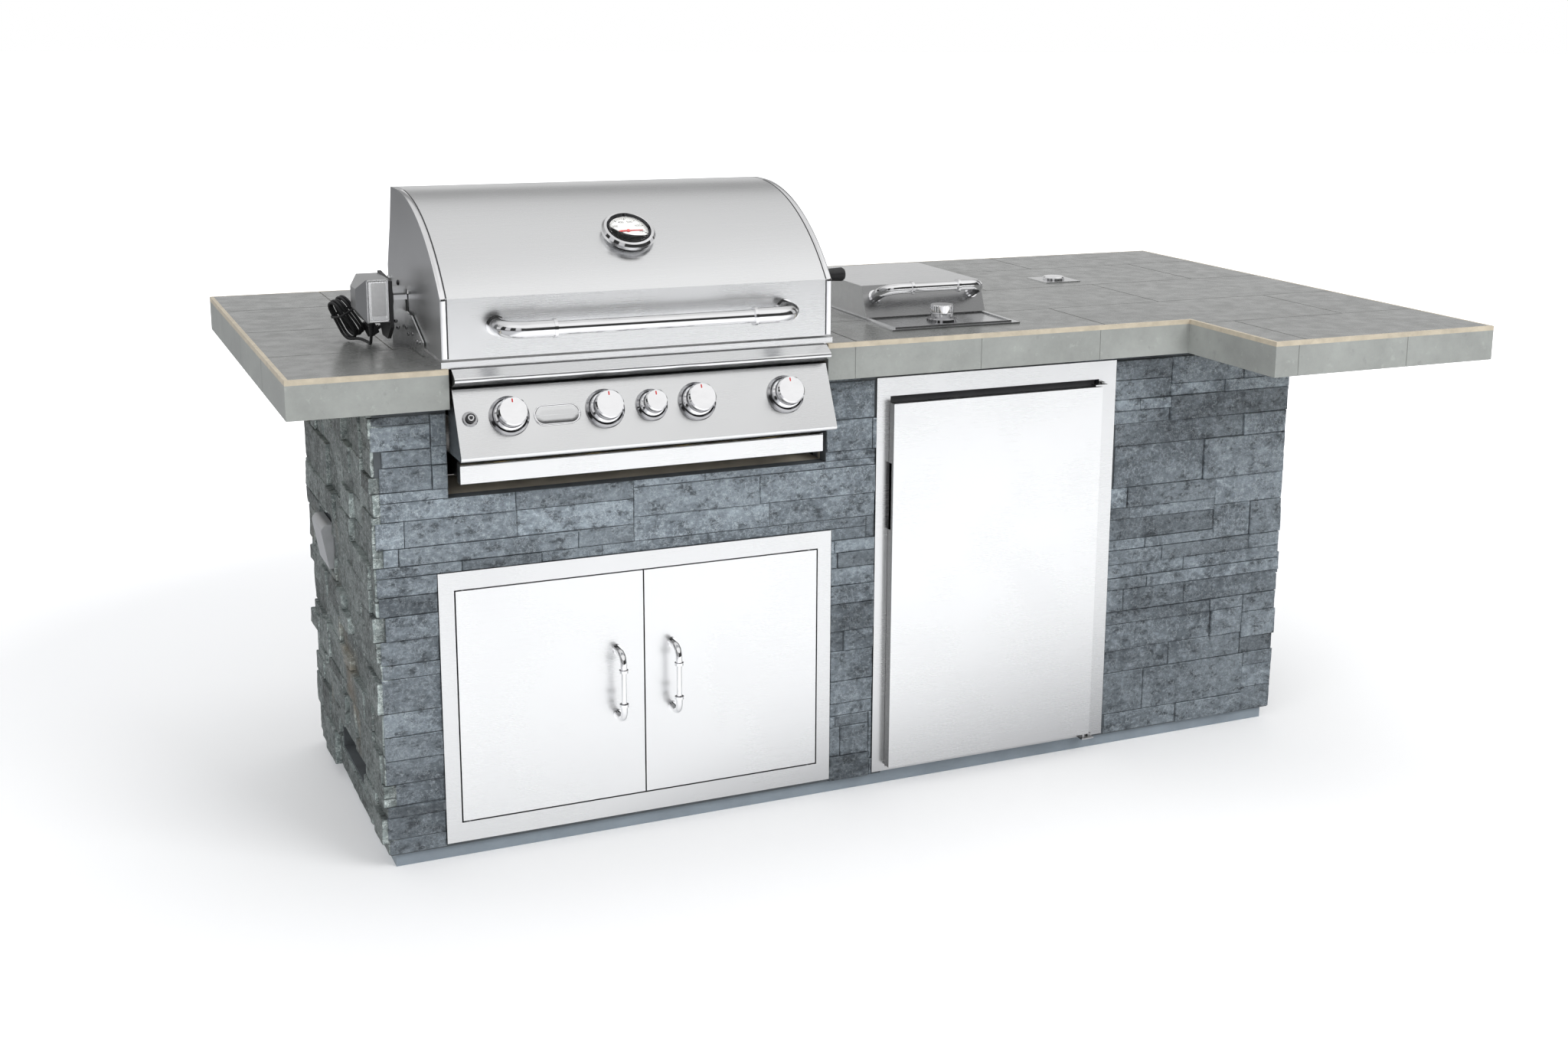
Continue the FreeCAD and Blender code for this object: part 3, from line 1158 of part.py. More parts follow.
def least_gap(edges):
    """The least gap between stretches of one cord that are a few diameters apart along it."""
    places = []
    walked = 0
    for edge in edges:
        steps = max(2, int(edge.Length / 1.5))
        for step in range(steps):
            share = step / steps
            at = edge.FirstParameter + (edge.LastParameter - edge.FirstParameter) * share
            places.append((walked + edge.Length * share, edge.valueAt(at)))
        walked += edge.Length
    cord = number("cord_diameter")
    return min((a[1] - b[1]).Length for a in places for b in places if b[0] - a[0] > 6 * cord) - cord


def part_node(label, shape):
    """A sub-part made with Part functions in the counter's own places."""
    item = doc.addObject("Part::Feature", label)
    item.Shape = shape
    item.Placement = FreeCAD.Placement(Vector(), Rotation())
    return node(label, item)


def build_cord():
    """The motor's cord: a free stretch behind the motor, a tied hank that leans, and its angled plug."""
    cord = number("cord_diameter")
    loops = 5
    half_run, half_width = number("hank_half_run"), number("hank_half_width")
    bottom_step, top_step = number("hank_bottom_step"), number("hank_top_step")
    # The hank's own directions: up along its runs, along the stack of loops, and across one loop.
    up = Vector(-0.43, 0, 0.90).normalize()
    stack = Vector(0.90, 0.37, 0.20)
    stack = (stack - up * stack.dot(up)).normalize()
    across = stack.cross(up)
    foot = half_run + half_width + cord
    centre = Vector(number("motor_left - 13"), number("motor_back + 60"),
                    number("counter_height + 0.5") + foot)

    def at(along, aside, level):
        return centre + up * along + across * aside + stack * level

    def width(loop):
        """Loose loops differ a little in size."""
        return half_width * (1 + math.sin(2.4 * loop) / 15)

    def bottom(loop):
        return (loop - (loops - 1) / 2) * bottom_step

    def top(loop):
        return (loop - (loops - 1) / 2) * top_step

    hub = at(-half_run, 0, bottom(0))
    lead = hub - up * width(0)
    edges = [line(lead + across * cord, lead), bend(hub, up * -width(0), across * -width(0))]
    for loop in range(loops):
        wide = width(loop)
        edges += drift(at(-half_run, -wide, bottom(loop)), at(half_run, -wide, top(loop)), up)
        hub = at(half_run, 0, top(loop))
        edges += [bend(hub, across * -wide, up * wide), bend(hub, up * wide, across * wide)]
        if loop < loops - 1:
            following = width(loop + 1)
            edges += drift(at(half_run, wide, top(loop)), at(-half_run, following, bottom(loop + 1)), up * -1)
            hub = at(-half_run, 0, bottom(loop + 1))
            edges += [bend(hub, across * following, up * -following),
                      bend(hub, up * -following, across * -following)]
    plug_level = bottom(loops - 1) + cord / 2 + 10
    last = at(-half_run + cord, width(loops - 1), plug_level)
    edges += drift(at(half_run, width(loops - 1), top(loops - 1)), last, up * -1)
    tip = last - up * cord
    edges.append(line(last, tip))
    print(f"least gap in the hank {least_gap(edges):.2f} mm")
    part_node("cord_hank", tube(edges, across * -1))

    # The free stretch drops out of the strain relief and runs behind the motor into the hank.
    start = Vector(number(GLAND[0]), number(GLAND[1]), number(GLAND[2]))
    end = lead + across * cord
    fall = start.z - end.z
    route = [
        start,
        start + Vector(0, 0, -0.39 * fall),
        start + Vector(0.5, 0.2 * fall, -0.74 * fall),
        start + Vector(2, 0.56 * fall, -0.94 * fall),
        start + Vector(5, 1.2 * fall, -0.97 * fall),
        end + across * 32,
        end,
    ]
    pieces = []
    here = route[0]
    radii = []
    for before, corner, after in zip(route, route[1:], route[2:]):
        arrive, leave = corner - before, after - corner
        reach = 0.45 * min(arrive.Length, leave.Length)
        turn = arrive.getAngle(leave)
        radii.append(reach / math.tan(turn / 2))
        into = corner - Vector(arrive).normalize() * reach
        out = corner + Vector(leave).normalize() * reach
        inward = (into + out) * 0.5 - corner
        hub = corner + inward * (1 / math.cos(math.pi / 2 - turn / 2) ** 2)
        nearest = hub + (corner - hub).normalize() * radii[-1]
        pieces += [line(here, into), Part.Arc(into, nearest, out).toShape()]
        here = out
    pieces.append(line(here, route[-1]))
    print("cord route", [tuple(round(value, 1) for value in point) for point in route])
    print("cord radii", [round(radius, 1) for radius in radii])
    part_node("motor_cord", tube(pieces, Vector(0, 0, -1)))

    # The angled plug: the cord enters its top end and the blades leave its flat side.
    turn = Rotation(across, Vector(), stack, "ZXY")
    body = doc.addObject("PartDesign::Body", "Plug")
    pad(body, "XY_Plane", [
        ("-6", "0"), ("6", "0"), ("10", "11"), ("10", "33"), ("-10", "33"), ("-10", "11")], "-9", "18")
    blades = [block(f"{place} - 0.8", f"{place} + 0.8", "22", "28.3", "8.5", "22")
              for place in ("-6.35", "6.35")]
    plug = fuse(body, *blades)
    plug.Placement = FreeCAD.Placement(tip, turn)
    node("cord_plug", plug)


def build_side_burner():
    """Side burner: a plate with a bowl, the burner head, its pan support, lid, handle and knob."""
    left, front = "burner_left", "burner_front"
    right, back = "(burner_left + burner_width)", "(burner_front + burner_depth)"
    top = "(counter_height + burner_rim)"
    lip = "burner_lip"
    bowl_front = f"({front} + lid_setback + 24)"
    plate = block(left, right, front, back, "counter_height", top)
    bead = cut(block(f"{left} + 14", f"{right} - 14", f"{front} + 14", f"{back} - 14", f"{top} - 1",
                     f"{top} + 3"),
               block(f"{left} + 18", f"{right} - 18", f"{front} + 18", f"{back} - 18", f"{top} - 2",
                     f"{top} + 4"))
    inner = (f"{left} + {lip} + 6", f"{right} - {lip} - 6", bowl_front, f"{back} - {lip} - 14")
    well = block(*inner, "counter_height - bowl_depth", f"{top} - 1")
    hollow = block(f"{inner[0]} + 2", f"{inner[1]} - 2", f"{inner[2]} + 2", f"{inner[3]} - 2",
                   "counter_height - bowl_depth + 2", f"{top} + 1")
    knob_hole = rod("Z", f"{left} + burner_width / 2", f"{front} + side_knob_setback",
                    "counter_height - 1", "stem_diameter / 2 + 3", "burner_rim + 2")
    valve_y = f"{front} + side_knob_setback"
    middle = f"({left} + burner_width / 2)"
    ears = []
    for side in ("-1", "1"):
        x = f"({middle} + {side} * (burner_width / 2 - lid_margin - 14))"
        ears.append(block(f"{x} - 3", f"{x} + 3", f"{back} - 30", f"{back} - 18", f"{top} - 1",
                          f"{top} + 19"))
    pin = rod("X", f"{left} + lid_margin - 1", f"{back} - 24", f"{top} + 13", "3",
              "burner_width - 2 * lid_margin + 2")
    node("burner_tray", fuse(cut(fuse(plate, bead, well), hollow, knob_hole), *ears, pin))

    burner_y = f"({bowl_front} + ({back} - {lip} - 14 - {bowl_front}) / 2)"
    floor = "(counter_height - bowl_depth + 2)"
    head = turned([
        ("0", "0"), ("26", "0"), ("26", "20"), ("44", "26"), ("46", "34"), ("40", "36"), ("38", "42"),
        ("30", "46"), ("0", "46")])
    ports = head.newObject("PartDesign::Pocket", "Port")
    ports.Profile = outline(head, "XY_Plane", rectangle("40", "50", "-1.5", "1.5"), "28")
    ports.Reversed = True
    bind(ports, {"Length": "4"})
    doc.recompute()
    ring = head.newObject("PartDesign::PolarPattern", "Ports")
    ring.Originals = [ports]
    ring.Axis = (next(f for f in head.Origin.OriginFeatures if f.Role == "Z_Axis"), [""])
    ring.Angle = 360
    ring.Occurrences = 10
    head.Tip = ring
    doc.recompute()
    move(head, middle, burner_y, floor)
    stem = rod("Z", middle, valve_y, "counter_height - 34", "stem_diameter / 2",
               f"{top} - counter_height + 34 + 24")
    valve_body = rod("Z", middle, valve_y, "counter_height - 46", "13", "44")
    feed = rod("Y", middle, valve_y, "counter_height - 38", "6", f"{bowl_front} - ({valve_y})")
    node("burner_head", group(head, fuse(stem, valve_body, feed)))

    rest = f"({floor} + bowl_depth - 10)"
    bars = []
    x0, x1, y0, y1 = inner[0], inner[1], inner[2], inner[3]
    ledge = [(f"{x0} + 2.5", f"{x1} - 2.5", f"{y0} + 2.5", f"{y1} - 2.5")]
    bars.append(frame_ring(*ledge[0], f"{rest} - 3", f"{rest} + 3", "Z", "6"))
    for step in range(3):
        y = f"({burner_y} + ({(step - 1) * 60}))"
        bars.append(block(f"{x0} + 3", f"{x1} - 3", f"{y} - 3", f"{y} + 3", f"{rest} - 3", f"{rest} + 5"))
    bars.append(block(f"{middle} - 3", f"{middle} + 3", f"{y0} + 3", f"{y1} - 3", f"{rest} - 3",
                      f"{rest} + 5"))
    for step_x in ("x0", "x1"):
        x = f"{x0} + 5.5" if step_x == "x0" else f"{x1} - 5.5"
        for y in (f"{y0} + 5.5", f"{y1} - 5.5"):
            bars.append(block(f"{x} - 3", f"{x} + 3", f"{y} - 3", f"{y} + 3", f"{floor} + {SEATED}",
                              f"{rest} - 2"))
    node("pan_support", fuse(*bars))

    lid_left, lid_right = f"({left} + lid_margin)", f"({right} - lid_margin)"
    lid_front = f"({front} + lid_setback)"
    lid_back = f"({lid_front} + lid_depth)"
    low = f"({top} + 3.6)"
    lid = along_x([
        (lid_front, low), (f"{lid_front} + lid_lean", f"{low} + lid_height"),
        (f"{lid_back} - 6", f"{low} + lid_height"), (lid_back, f"{low} + lid_height - 6"),
        (lid_back, low)], lid_left, lid_right)
    pocket(lid, "YZ_Plane", [
        (f"{lid_front} + 2.2", f"{low} - 1"), (f"{lid_front} + lid_lean + 1.2", f"{low} + lid_height - 2"),
        (f"{lid_back} - 6", f"{low} + lid_height - 2"), (f"{lid_back} - 2", f"{low} + lid_height - 6"),
        (f"{lid_back} - 2", f"{low} - 1")], f"{lid_left} + 2", f"{lid_right} - {lid_left} - 4")
    pin_hole = rod("X", f"{lid_left} - 1", f"{back} - 24", f"{top} + 13", f"3 + {RUNNING}",
                   f"{lid_right} - {lid_left} + 2")
    rear_gap = block(f"{lid_left} + 3", f"{lid_right} - 3", f"{lid_back} - 3", f"{lid_back} + 1",
                     f"{low} - 1", f"{low} + 24")
    node("burner_lid", cut(lid, pin_hole, rear_gap))

    handle = bow_handle("lid_handle_span", "lid_handle_reach", "34", "24", "20", "64")
    handle.Placement = FreeCAD.Placement(Vector(), Rotation(Vector(1, 0, 0), 66.2))
    bind(handle, {"Placement.Rotation.Angle": "90 deg - atan(lid_lean / lid_height)"})
    share = "0.64"
    node("lid_handle", move(handle, middle, f"{lid_front} + {share} * lid_lean",
                            f"{low} + {share} * lid_height"))

    radius = "(side_knob_diameter / 2)"
    foot = "(bezel_height - 3 + 0.6)"
    knob = turned([
        (f"stem_diameter / 2 + {RUNNING}", foot), (f"{radius} - 3", foot), (f"{radius} - 1", f"{foot} + 12"),
        (radius, f"{foot} + 14"), (radius, f"{foot} + side_knob_height - 2"),
        (f"{radius} - 2", f"{foot} + side_knob_height"), ("0", f"{foot} + side_knob_height"), ("0", "25"),
        (f"stem_diameter / 2 + {RUNNING}", "25")])
    flute = knob.newObject("PartDesign::Pocket", "Flute")
    flute.Profile = outline(knob, "XY_Plane", rectangle(f"{radius} - 1.2", f"{radius} + 2", "-1.6", "1.6"),
                            f"{foot} + 15")
    flute.Reversed = True
    bind(flute, {"Length": "side_knob_height"})
    doc.recompute()
    knurl = knob.newObject("PartDesign::PolarPattern", "Knurl")
    knurl.Originals = [flute]
    knurl.Axis = (next(f for f in knob.Origin.OriginFeatures if f.Role == "Z_Axis"), [""])
    knurl.Angle = 360
    knurl.Occurrences = 24
    knob.Tip = knurl
    doc.recompute()
    node("side_burner_knob", move(knob, middle, valve_y, top))


def build_doors():
    """Door frame set in the stone, and two framed doors with bow handles."""
    left, right = "doors_left", "(doors_left + doors_width)"
    low, high = "doors_bottom", "(doors_bottom + doors_height)"
    hole_left, hole_right = f"({left} + door_side_margin)", f"({right} - door_side_margin)"
    hole_low, hole_high = f"({low} + door_bottom_margin)", f"({high} - door_top_margin)"
    face = "(base_front - frame_flange)"
    depth = "(base_front + frame_return)"
    flange = along_y(rectangle(left, right, low, high), face, "base_front")
    pocket(flange, "XZ_Plane", rectangle(hole_left, hole_right, hole_low, hole_high), "-base_front - 1",
           "frame_flange + 2")
    sleeve = along_y(rectangle(f"{hole_left} - 3", f"{hole_right} + 3", f"{hole_low} - 3",
                               f"{hole_high} + 3"),
                     f"{face} + 1", depth)
    pocket(sleeve, "XZ_Plane", rectangle(hole_left, hole_right, hole_low, hole_high), f"-{depth} - 1",
           f"{depth} - {face} + 2")
    hinge_pins = []
    back = f"({face} + door_thickness)"
    for side, edge in (("-1", hole_left), ("1", hole_right)):
        pivot = f"({edge} - ({side}) * 18)"
        for z in (hole_low, f"{hole_high} - 7"):
            hinge_pins.append(rod("Z", pivot, f"{face} + 9", z, "3", "7"))
    # The stop rail ends short of the pivots, because the doors' edges swing in there.
    rail = block(f"{hole_left} + 45", f"{hole_right} - 45", f"{back} + {SEATED}", f"{back} + {SEATED} + 3",
                 f"{hole_high} - 12", hole_high)
    node("door_frame", fuse(flange, sleeve, *hinge_pins, rail))

    meet = f"(({hole_left} + {hole_right}) / 2)"
    for label, side in (("left", "-1"), ("right", "1")):
        x0 = f"({hole_left} + door_gap)" if side == "-1" else f"({meet} + door_gap / 2)"
        x1 = f"({meet} - door_gap / 2)" if side == "-1" else f"({hole_right} - door_gap)"
        z0, z1 = f"({hole_low} + door_gap)", f"({hole_high} - door_gap)"
        door = along_y(rectangle(x0, x1, z0, z1), face, back)
        pocket(door, "XZ_Plane", rectangle(f"{x0} + 1.5", f"{x1} - 1.5", f"{z0} + 1.5", f"{z1} - 1.5"),
               f"-{back} - 1", "door_thickness - 0.5")
        pivot = f"({hole_left} + 18)" if side == "-1" else f"({hole_right} - 18)"
        bores = [rod("Z", pivot, f"{face} + 9", z, f"3 + {RUNNING}", "12")
                 for z in (f"{hole_low} - 1", f"{hole_high} - 11")]
        blocks = [block(f"{pivot} - 6", f"{pivot} + 6", f"{face} + 1.4", f"{back} - 1", za, zb)
                  for za, zb in ((z0, f"{z0} + 20"), (f"{z1} - 20", z1))]
        node(f"door_{label}", cut(fuse(door, *blocks), *bores))
        handle = bow_handle("door_handle_span", "door_handle_reach", "22", "14", "11", "34")
        upright = FreeCAD.Rotation(Vector(0, 0, 1), Vector(-1, 0, 0), Vector(0, -1, 0), "XYZ")
        handle.Placement = FreeCAD.Placement(Vector(), upright)
        node(f"door_handle_{label}", move(handle, f"{meet} + ({side}) * door_handle_offset", face,
                                          f"{low} + door_handle_rise"))


def build_fridge():
    """Refrigerator: trim frame in the stone, insulated cabinet with shelves, and a proud door."""
    left, right = "fridge_left", "(fridge_left + fridge_width)"
    low, high = "fridge_bottom", "(fridge_bottom + fridge_height)"
    hole_left, hole_right = f"({left} + fridge_left_margin)", f"({right} - fridge_right_margin)"
    hole_low, hole_high = f"({low} + fridge_bottom_margin)", f"({high} - fridge_top_margin)"
    face = "(base_front - frame_flange)"
    trim = along_y(rectangle(left, right, low, high), face, "base_front")
    pocket(trim, "XZ_Plane", rectangle(hole_left, hole_right, hole_low, hole_high), "-base_front - 1",
           "frame_flange + 2")
    hinge_x = f"({hole_right} - 12)"
    hinge_y = "(fridge_door_front + 12)"
    arm = block(f"{hinge_x} - 8", f"{hole_right} + 12", f"{hinge_y} - 8", face, f"{hole_high} - 12",
                f"{hole_high} - 9")
    arm_low = block(f"{hinge_x} - 8", f"{hole_right} + 12", f"{hinge_y} - 8", face, low, f"{low} + 3")
    lugs = [block(f"{hole_right} + 2", f"{hole_right} + 12", f"{hinge_y} + 2", f"{face} + 1", *level)
            for level in ((f"{hole_high} - 12", f"{hole_high} - 6"), (low, f"{low} + 9"))]
    pins = [rod("Z", hinge_x, hinge_y, f"{hole_high} - 22", "3", "12"),
            rod("Z", hinge_x, hinge_y, f"{low} + 2", "3", "17")]
    node("fridge_frame", fuse(trim, arm, arm_low, *lugs, *pins))

    wall = "fridge_wall"
    cab = (f"({hole_left} - 2)", f"({hole_right} + 2)", f"({INNER_FRONT} - 26)",
           f"({INNER_BACK} - frame_tube - fridge_back_gap)", "(plinth_height + frame_tube + 4)",
           f"({hole_high} + 2)")
    shell = block(*cab)
    cavity = block(f"{cab[0]} + {wall}", f"{cab[1]} - {wall}", f"{cab[2]} - 1", f"{cab[3]} - {wall}",
                   f"{cab[4]} + {wall}", f"{cab[5]} - {wall}")
    machine = block(f"{cab[0]} + {wall}", f"{cab[1]} - {wall}", f"{cab[3]} - 190", f"{cab[3]} - {wall} + 1",
                    f"{cab[4]} + {wall} - 1", f"{cab[4]} + 200")
    ledges = []
    for level in ("0.36", "0.58", "0.8"):
        z = f"({cab[4]} + {level} * ({cab[5]} - {cab[4]}))"
        for x0, x1 in ((f"{cab[0]} + {wall} - 1", f"{cab[0]} + {wall} + 8"),
                       (f"{cab[1]} - {wall} - 8", f"{cab[1]} - {wall} + 1")):
            ledges.append(block(x0, x1, f"{cab[2]} + 20", f"{cab[3]} - {wall} - 20", f"{z} - 8",
                                f"{z} - {SEATED}"))
    feet = [rod("Z", x, f"{INNER_FRONT} + frame_tube / 2", "plinth_height + frame_tube", "9", "5")
            for x in (f"{cab[0]} + 40", f"{cab[1]} - 40")]
    back_feet = [rod("Z", x, f"{cab[3]} - 40", "0", "9", f"{cab[4]} + 1")
                 for x in (f"{cab[0]} + 40", f"{cab[1]} - 40")]
    node("fridge_cabinet", fuse(cut(shell, cavity), machine, *ledges, *feet, *back_feet))

    shelves = []
    for level in ("0.36", "0.58", "0.8"):
        z = f"({cab[4]} + {level} * ({cab[5]} - {cab[4]}))"
        x0, x1 = f"{cab[0]} + {wall} + 1", f"{cab[1]} - {wall} - 1"
        y0, y1 = f"{cab[2]} + 24", f"{cab[3]} - 196"
        tray = frame_ring(x0, x1, y0, y1, z, f"{z} + 5", "Z", "8")
        bars = []
        for step in range(11):
            x = f"({x0} + 30 + {step} * 38)"
            bars.append(block(f"{x} - 2", f"{x} + 2", f"{y0} + 7", f"{y1} - 7", z, f"{z} + 4"))
        shelves.append(fuse(tray, *bars))
    node("fridge_shelves", group(*shelves))

    gap = "fridge_door_gap"
    x0, x1 = f"({hole_left} + {gap} - 6)", f"({hole_right} - {gap})"
    z0, z1 = f"({hole_low} + 5)", f"({hole_high} - 13)"
    back = f"({face} - 1)"
    door = along_y(rectangle(x0, x1, z0, z1), "fridge_door_front", back)
    inner = along_y(rectangle(f"{hole_left} + 6", f"{hole_right} - 6", f"{hole_low} + 24",
                              f"{hole_high} - 24"),
                    f"{back} - 1", f"{cab[2]} - 1")
    grip = block(f"{x0} - 1", f"{x0} + 10", "fridge_door_front + 9", f"{back} + 1",
                 f"{z0} + 0.66 * ({z1} - {z0})",
                 f"{z0} + 0.84 * ({z1} - {z0})")
    bores = [rod("Z", hinge_x, hinge_y, f"{z1} - 14", f"3 + {RUNNING}", "16"),
             rod("Z", hinge_x, hinge_y, f"{z0} - 1", f"3 + {RUNNING}", "12")]
    node("fridge_door", cut(fuse(door, inner), grip, *bores))


def build_fittings():
    """Outlet box and hinged cover and mesh vent in the left end, umbrella sleeve and its cap."""
    wall = "base_left"
    low, high = "outlet_bottom", "(outlet_bottom + outlet_height)"
    front, back = "outlet_front", "(outlet_front + outlet_length)"
    plate = block(f"{wall} - 6", wall, front, back, low, f"{high} - 14")
    box = block(wall, f"{wall} + {SKIN} + 6", f"{front} + 31", f"{back} - 31", f"{low} + 21", f"{high} - 26")
    faces = [block(f"{wall} - 8", f"{wall} - 4", f"{front} + {start}", f"{front} + {start + 30}",
                   f"{low} + 26", f"{high} - 34") for start in (22, 63)]
    hinge = rod("Y", f"{wall} - 9", f"{front} + 3", f"{high} - 5", "2", "outlet_length - 6")
    ears = [block(f"{wall} - 11", f"{wall} - 5.9", y, f"{y} + 4", f"{high} - 22", f"{high} - 2")
            for y in (f"({front} + 3)", f"({back} - 7)")]
    node("outlet_box", fuse(plate, box, *faces, hinge, *ears))

    outer = f"({wall} - outlet_reach)"
    cover = along_y([
        (f"{wall} - 5.6", f"{low} + 1"), (f"{wall} - 5.6", f"{high} + 3"),
        (f"{wall} - 16", f"{high} + 3", "16"),
        (outer, f"{high} - 12"), (f"{outer} + 14", f"{low} + 1")], f"{front} - 2", f"{back} + 2")
    pocket(cover, "XZ_Plane", [
        (f"{wall} - 4", low), (f"{wall} - 4", f"{high} + 1"), (f"{wall} - 16", f"{high} + 1"),
        (f"{outer} + 2", f"{high} - 12.5"), (f"{outer} + 15.6", low)], f"-({back})", "outlet_length")
    knuckles = [rod("Y", f"{wall} - 9", y, f"{high} - 5", "3.4", "8")
                for y in (f"{front} + 12", f"{back} - 20")]
    webs = [block(f"{wall} - 12", f"{wall} - 8", y, f"{y} + 8", f"{high} - 3", f"{high} + 2")
            for y in (f"({front} + 12)", f"({back} - 20)")]
    bore = rod("Y", f"{wall} - 9", front, f"{high} - 5", f"2 + {RUNNING}", "outlet_length")
    node("outlet_cover", cut(fuse(cover, *knuckles, *webs), bore))

    depth = "stone_thickness"
    sheet_x = f"({wall} + {depth})"
    grille = along_x(rectangle("vent_front - 14", "vent_front + vent_length + 14", "vent_bottom - 14",
                               "vent_bottom + vent_height + 14"), f"{sheet_x} + backer_thickness",
                     f"{sheet_x} + backer_thickness + 2")
    holes = []
    for row in range(3):
        for column in range(14):
            y = f"(vent_front + 14 + {column * 20 + (10 if row % 2 else 0)} * vent_length / 290)"
            z = f"(vent_bottom + {12 + row * 19} * vent_height / 62)"
            if column == 13 and row % 2:
                continue
            holes.append((y, z))
    diamonds = [along_x([(f"{y} - 8.6", z), (y, f"{z} - 8"), (f"{y} + 8.6", z), (y, f"{z} + 8")],
                        f"{sheet_x} + backer_thickness - 1", f"{sheet_x} + backer_thickness + 3")
                for y, z in holes]
    node("vent_grille", cut(grille, *diamonds))

    x, y = "umbrella_across", "umbrella_back"
    half = "umbrella_plate / 2"
    plate = block(f"{x} - {half}", f"{x} + {half}", f"{y} - {half}", f"{y} + {half}", "counter_height",
                  "counter_height + 2")
    tube = rod("Z", x, y, "counter_height - 130", "umbrella_tube / 2", "131")
    bore = rod("Z", x, y, "counter_height - 131", "umbrella_tube / 2 - 2", "135")
    node("umbrella_sleeve", cut(fuse(plate, tube), bore))
    plug = f"umbrella_tube / 2 - 2 - {SEATED}"
    cap = turned([
        ("0", "-16"), (plug, "-16"), (plug, str(SEATED)), ("umbrella_cap / 2", str(SEATED)),
        ("umbrella_cap / 2", "5"), ("umbrella_cap / 2 - 3", "8"), ("0", "9")])
    node("umbrella_cap", move(cap, x, y, "counter_height + 2"))


build_base()
build_counter()
build_grill_body()
build_control_panel()
build_drip_tray()
build_hood()
build_rotisserie()
build_cord()
build_side_burner()
build_doors()
build_fridge()
build_fittings()
doc.recompute()

for item in doc.Objects:
    if "Invalid" in item.State or "Error" in item.State:
        raise ValueError(f"{item.Label} did not recompute: {item.State}")
for item in nodes:
    if item.Shape.isNull() or not item.Shape.isValid():
        raise ValueError(f"{item.Label} has no valid shape")
os.makedirs("parts", exist_ok=True)
for item in nodes:
    item.Shape.exportStep(f"parts/{item.Label}.step")
box = Part.makeCompound([item.Shape for item in nodes]).BoundBox
print(f"{len(nodes)} sub-parts, {box.XLength:.1f} x {box.YLength:.1f} x {box.ZLength:.1f} mm")
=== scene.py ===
import math
import random

import bpy
from mathutils import Matrix, Vector, noise


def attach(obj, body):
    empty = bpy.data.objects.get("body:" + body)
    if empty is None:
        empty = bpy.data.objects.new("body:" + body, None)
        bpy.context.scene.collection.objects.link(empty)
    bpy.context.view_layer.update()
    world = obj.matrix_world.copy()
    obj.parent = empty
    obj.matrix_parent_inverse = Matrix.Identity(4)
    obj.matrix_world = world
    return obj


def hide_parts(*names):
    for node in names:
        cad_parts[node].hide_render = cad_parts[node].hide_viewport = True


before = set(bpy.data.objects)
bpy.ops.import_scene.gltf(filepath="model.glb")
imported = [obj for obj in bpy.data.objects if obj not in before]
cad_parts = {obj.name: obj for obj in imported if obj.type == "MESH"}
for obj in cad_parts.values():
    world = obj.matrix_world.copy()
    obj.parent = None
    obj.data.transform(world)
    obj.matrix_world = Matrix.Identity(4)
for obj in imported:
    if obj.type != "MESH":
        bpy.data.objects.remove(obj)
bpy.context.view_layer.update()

# Places below are in millimetres from the counter's front left corner, on the floor.
CORNER = Vector((1297.5, 394.0, 0.0))


def at(x, y, z):
    """A place in the model's frame, in metres."""
    return (Vector((x, y, z)) - CORNER) / 1000


def add_camera():
    """The camera, at the photograph's viewing angle."""
    turn, tilt, roll = math.radians(25.195), math.radians(12.788), math.radians(0.735)
    ahead = Vector((math.sin(turn) * math.cos(tilt), math.cos(turn) * math.cos(tilt), -math.sin(tilt)))
    level = Vector((math.cos(turn), -math.sin(turn), 0))
    above = level.cross(ahead)
    right = level * math.cos(roll) + above * math.sin(roll)
    top = above * math.cos(roll) - level * math.sin(roll)
    data = bpy.data.cameras.new("Camera")
    data.lens = 43.915
    data.shift_x = -0.0485
    data.shift_y = -0.0535
    camera = bpy.data.objects.new("Camera", data)
    bpy.context.scene.collection.objects.link(camera)
    rows = Matrix((right, top, -ahead)).transposed().to_4x4()
    rows.translation = at(-508.3, -3569.8, 1712.0)
    camera.matrix_world = rows
    bpy.context.scene.camera = camera


add_camera()


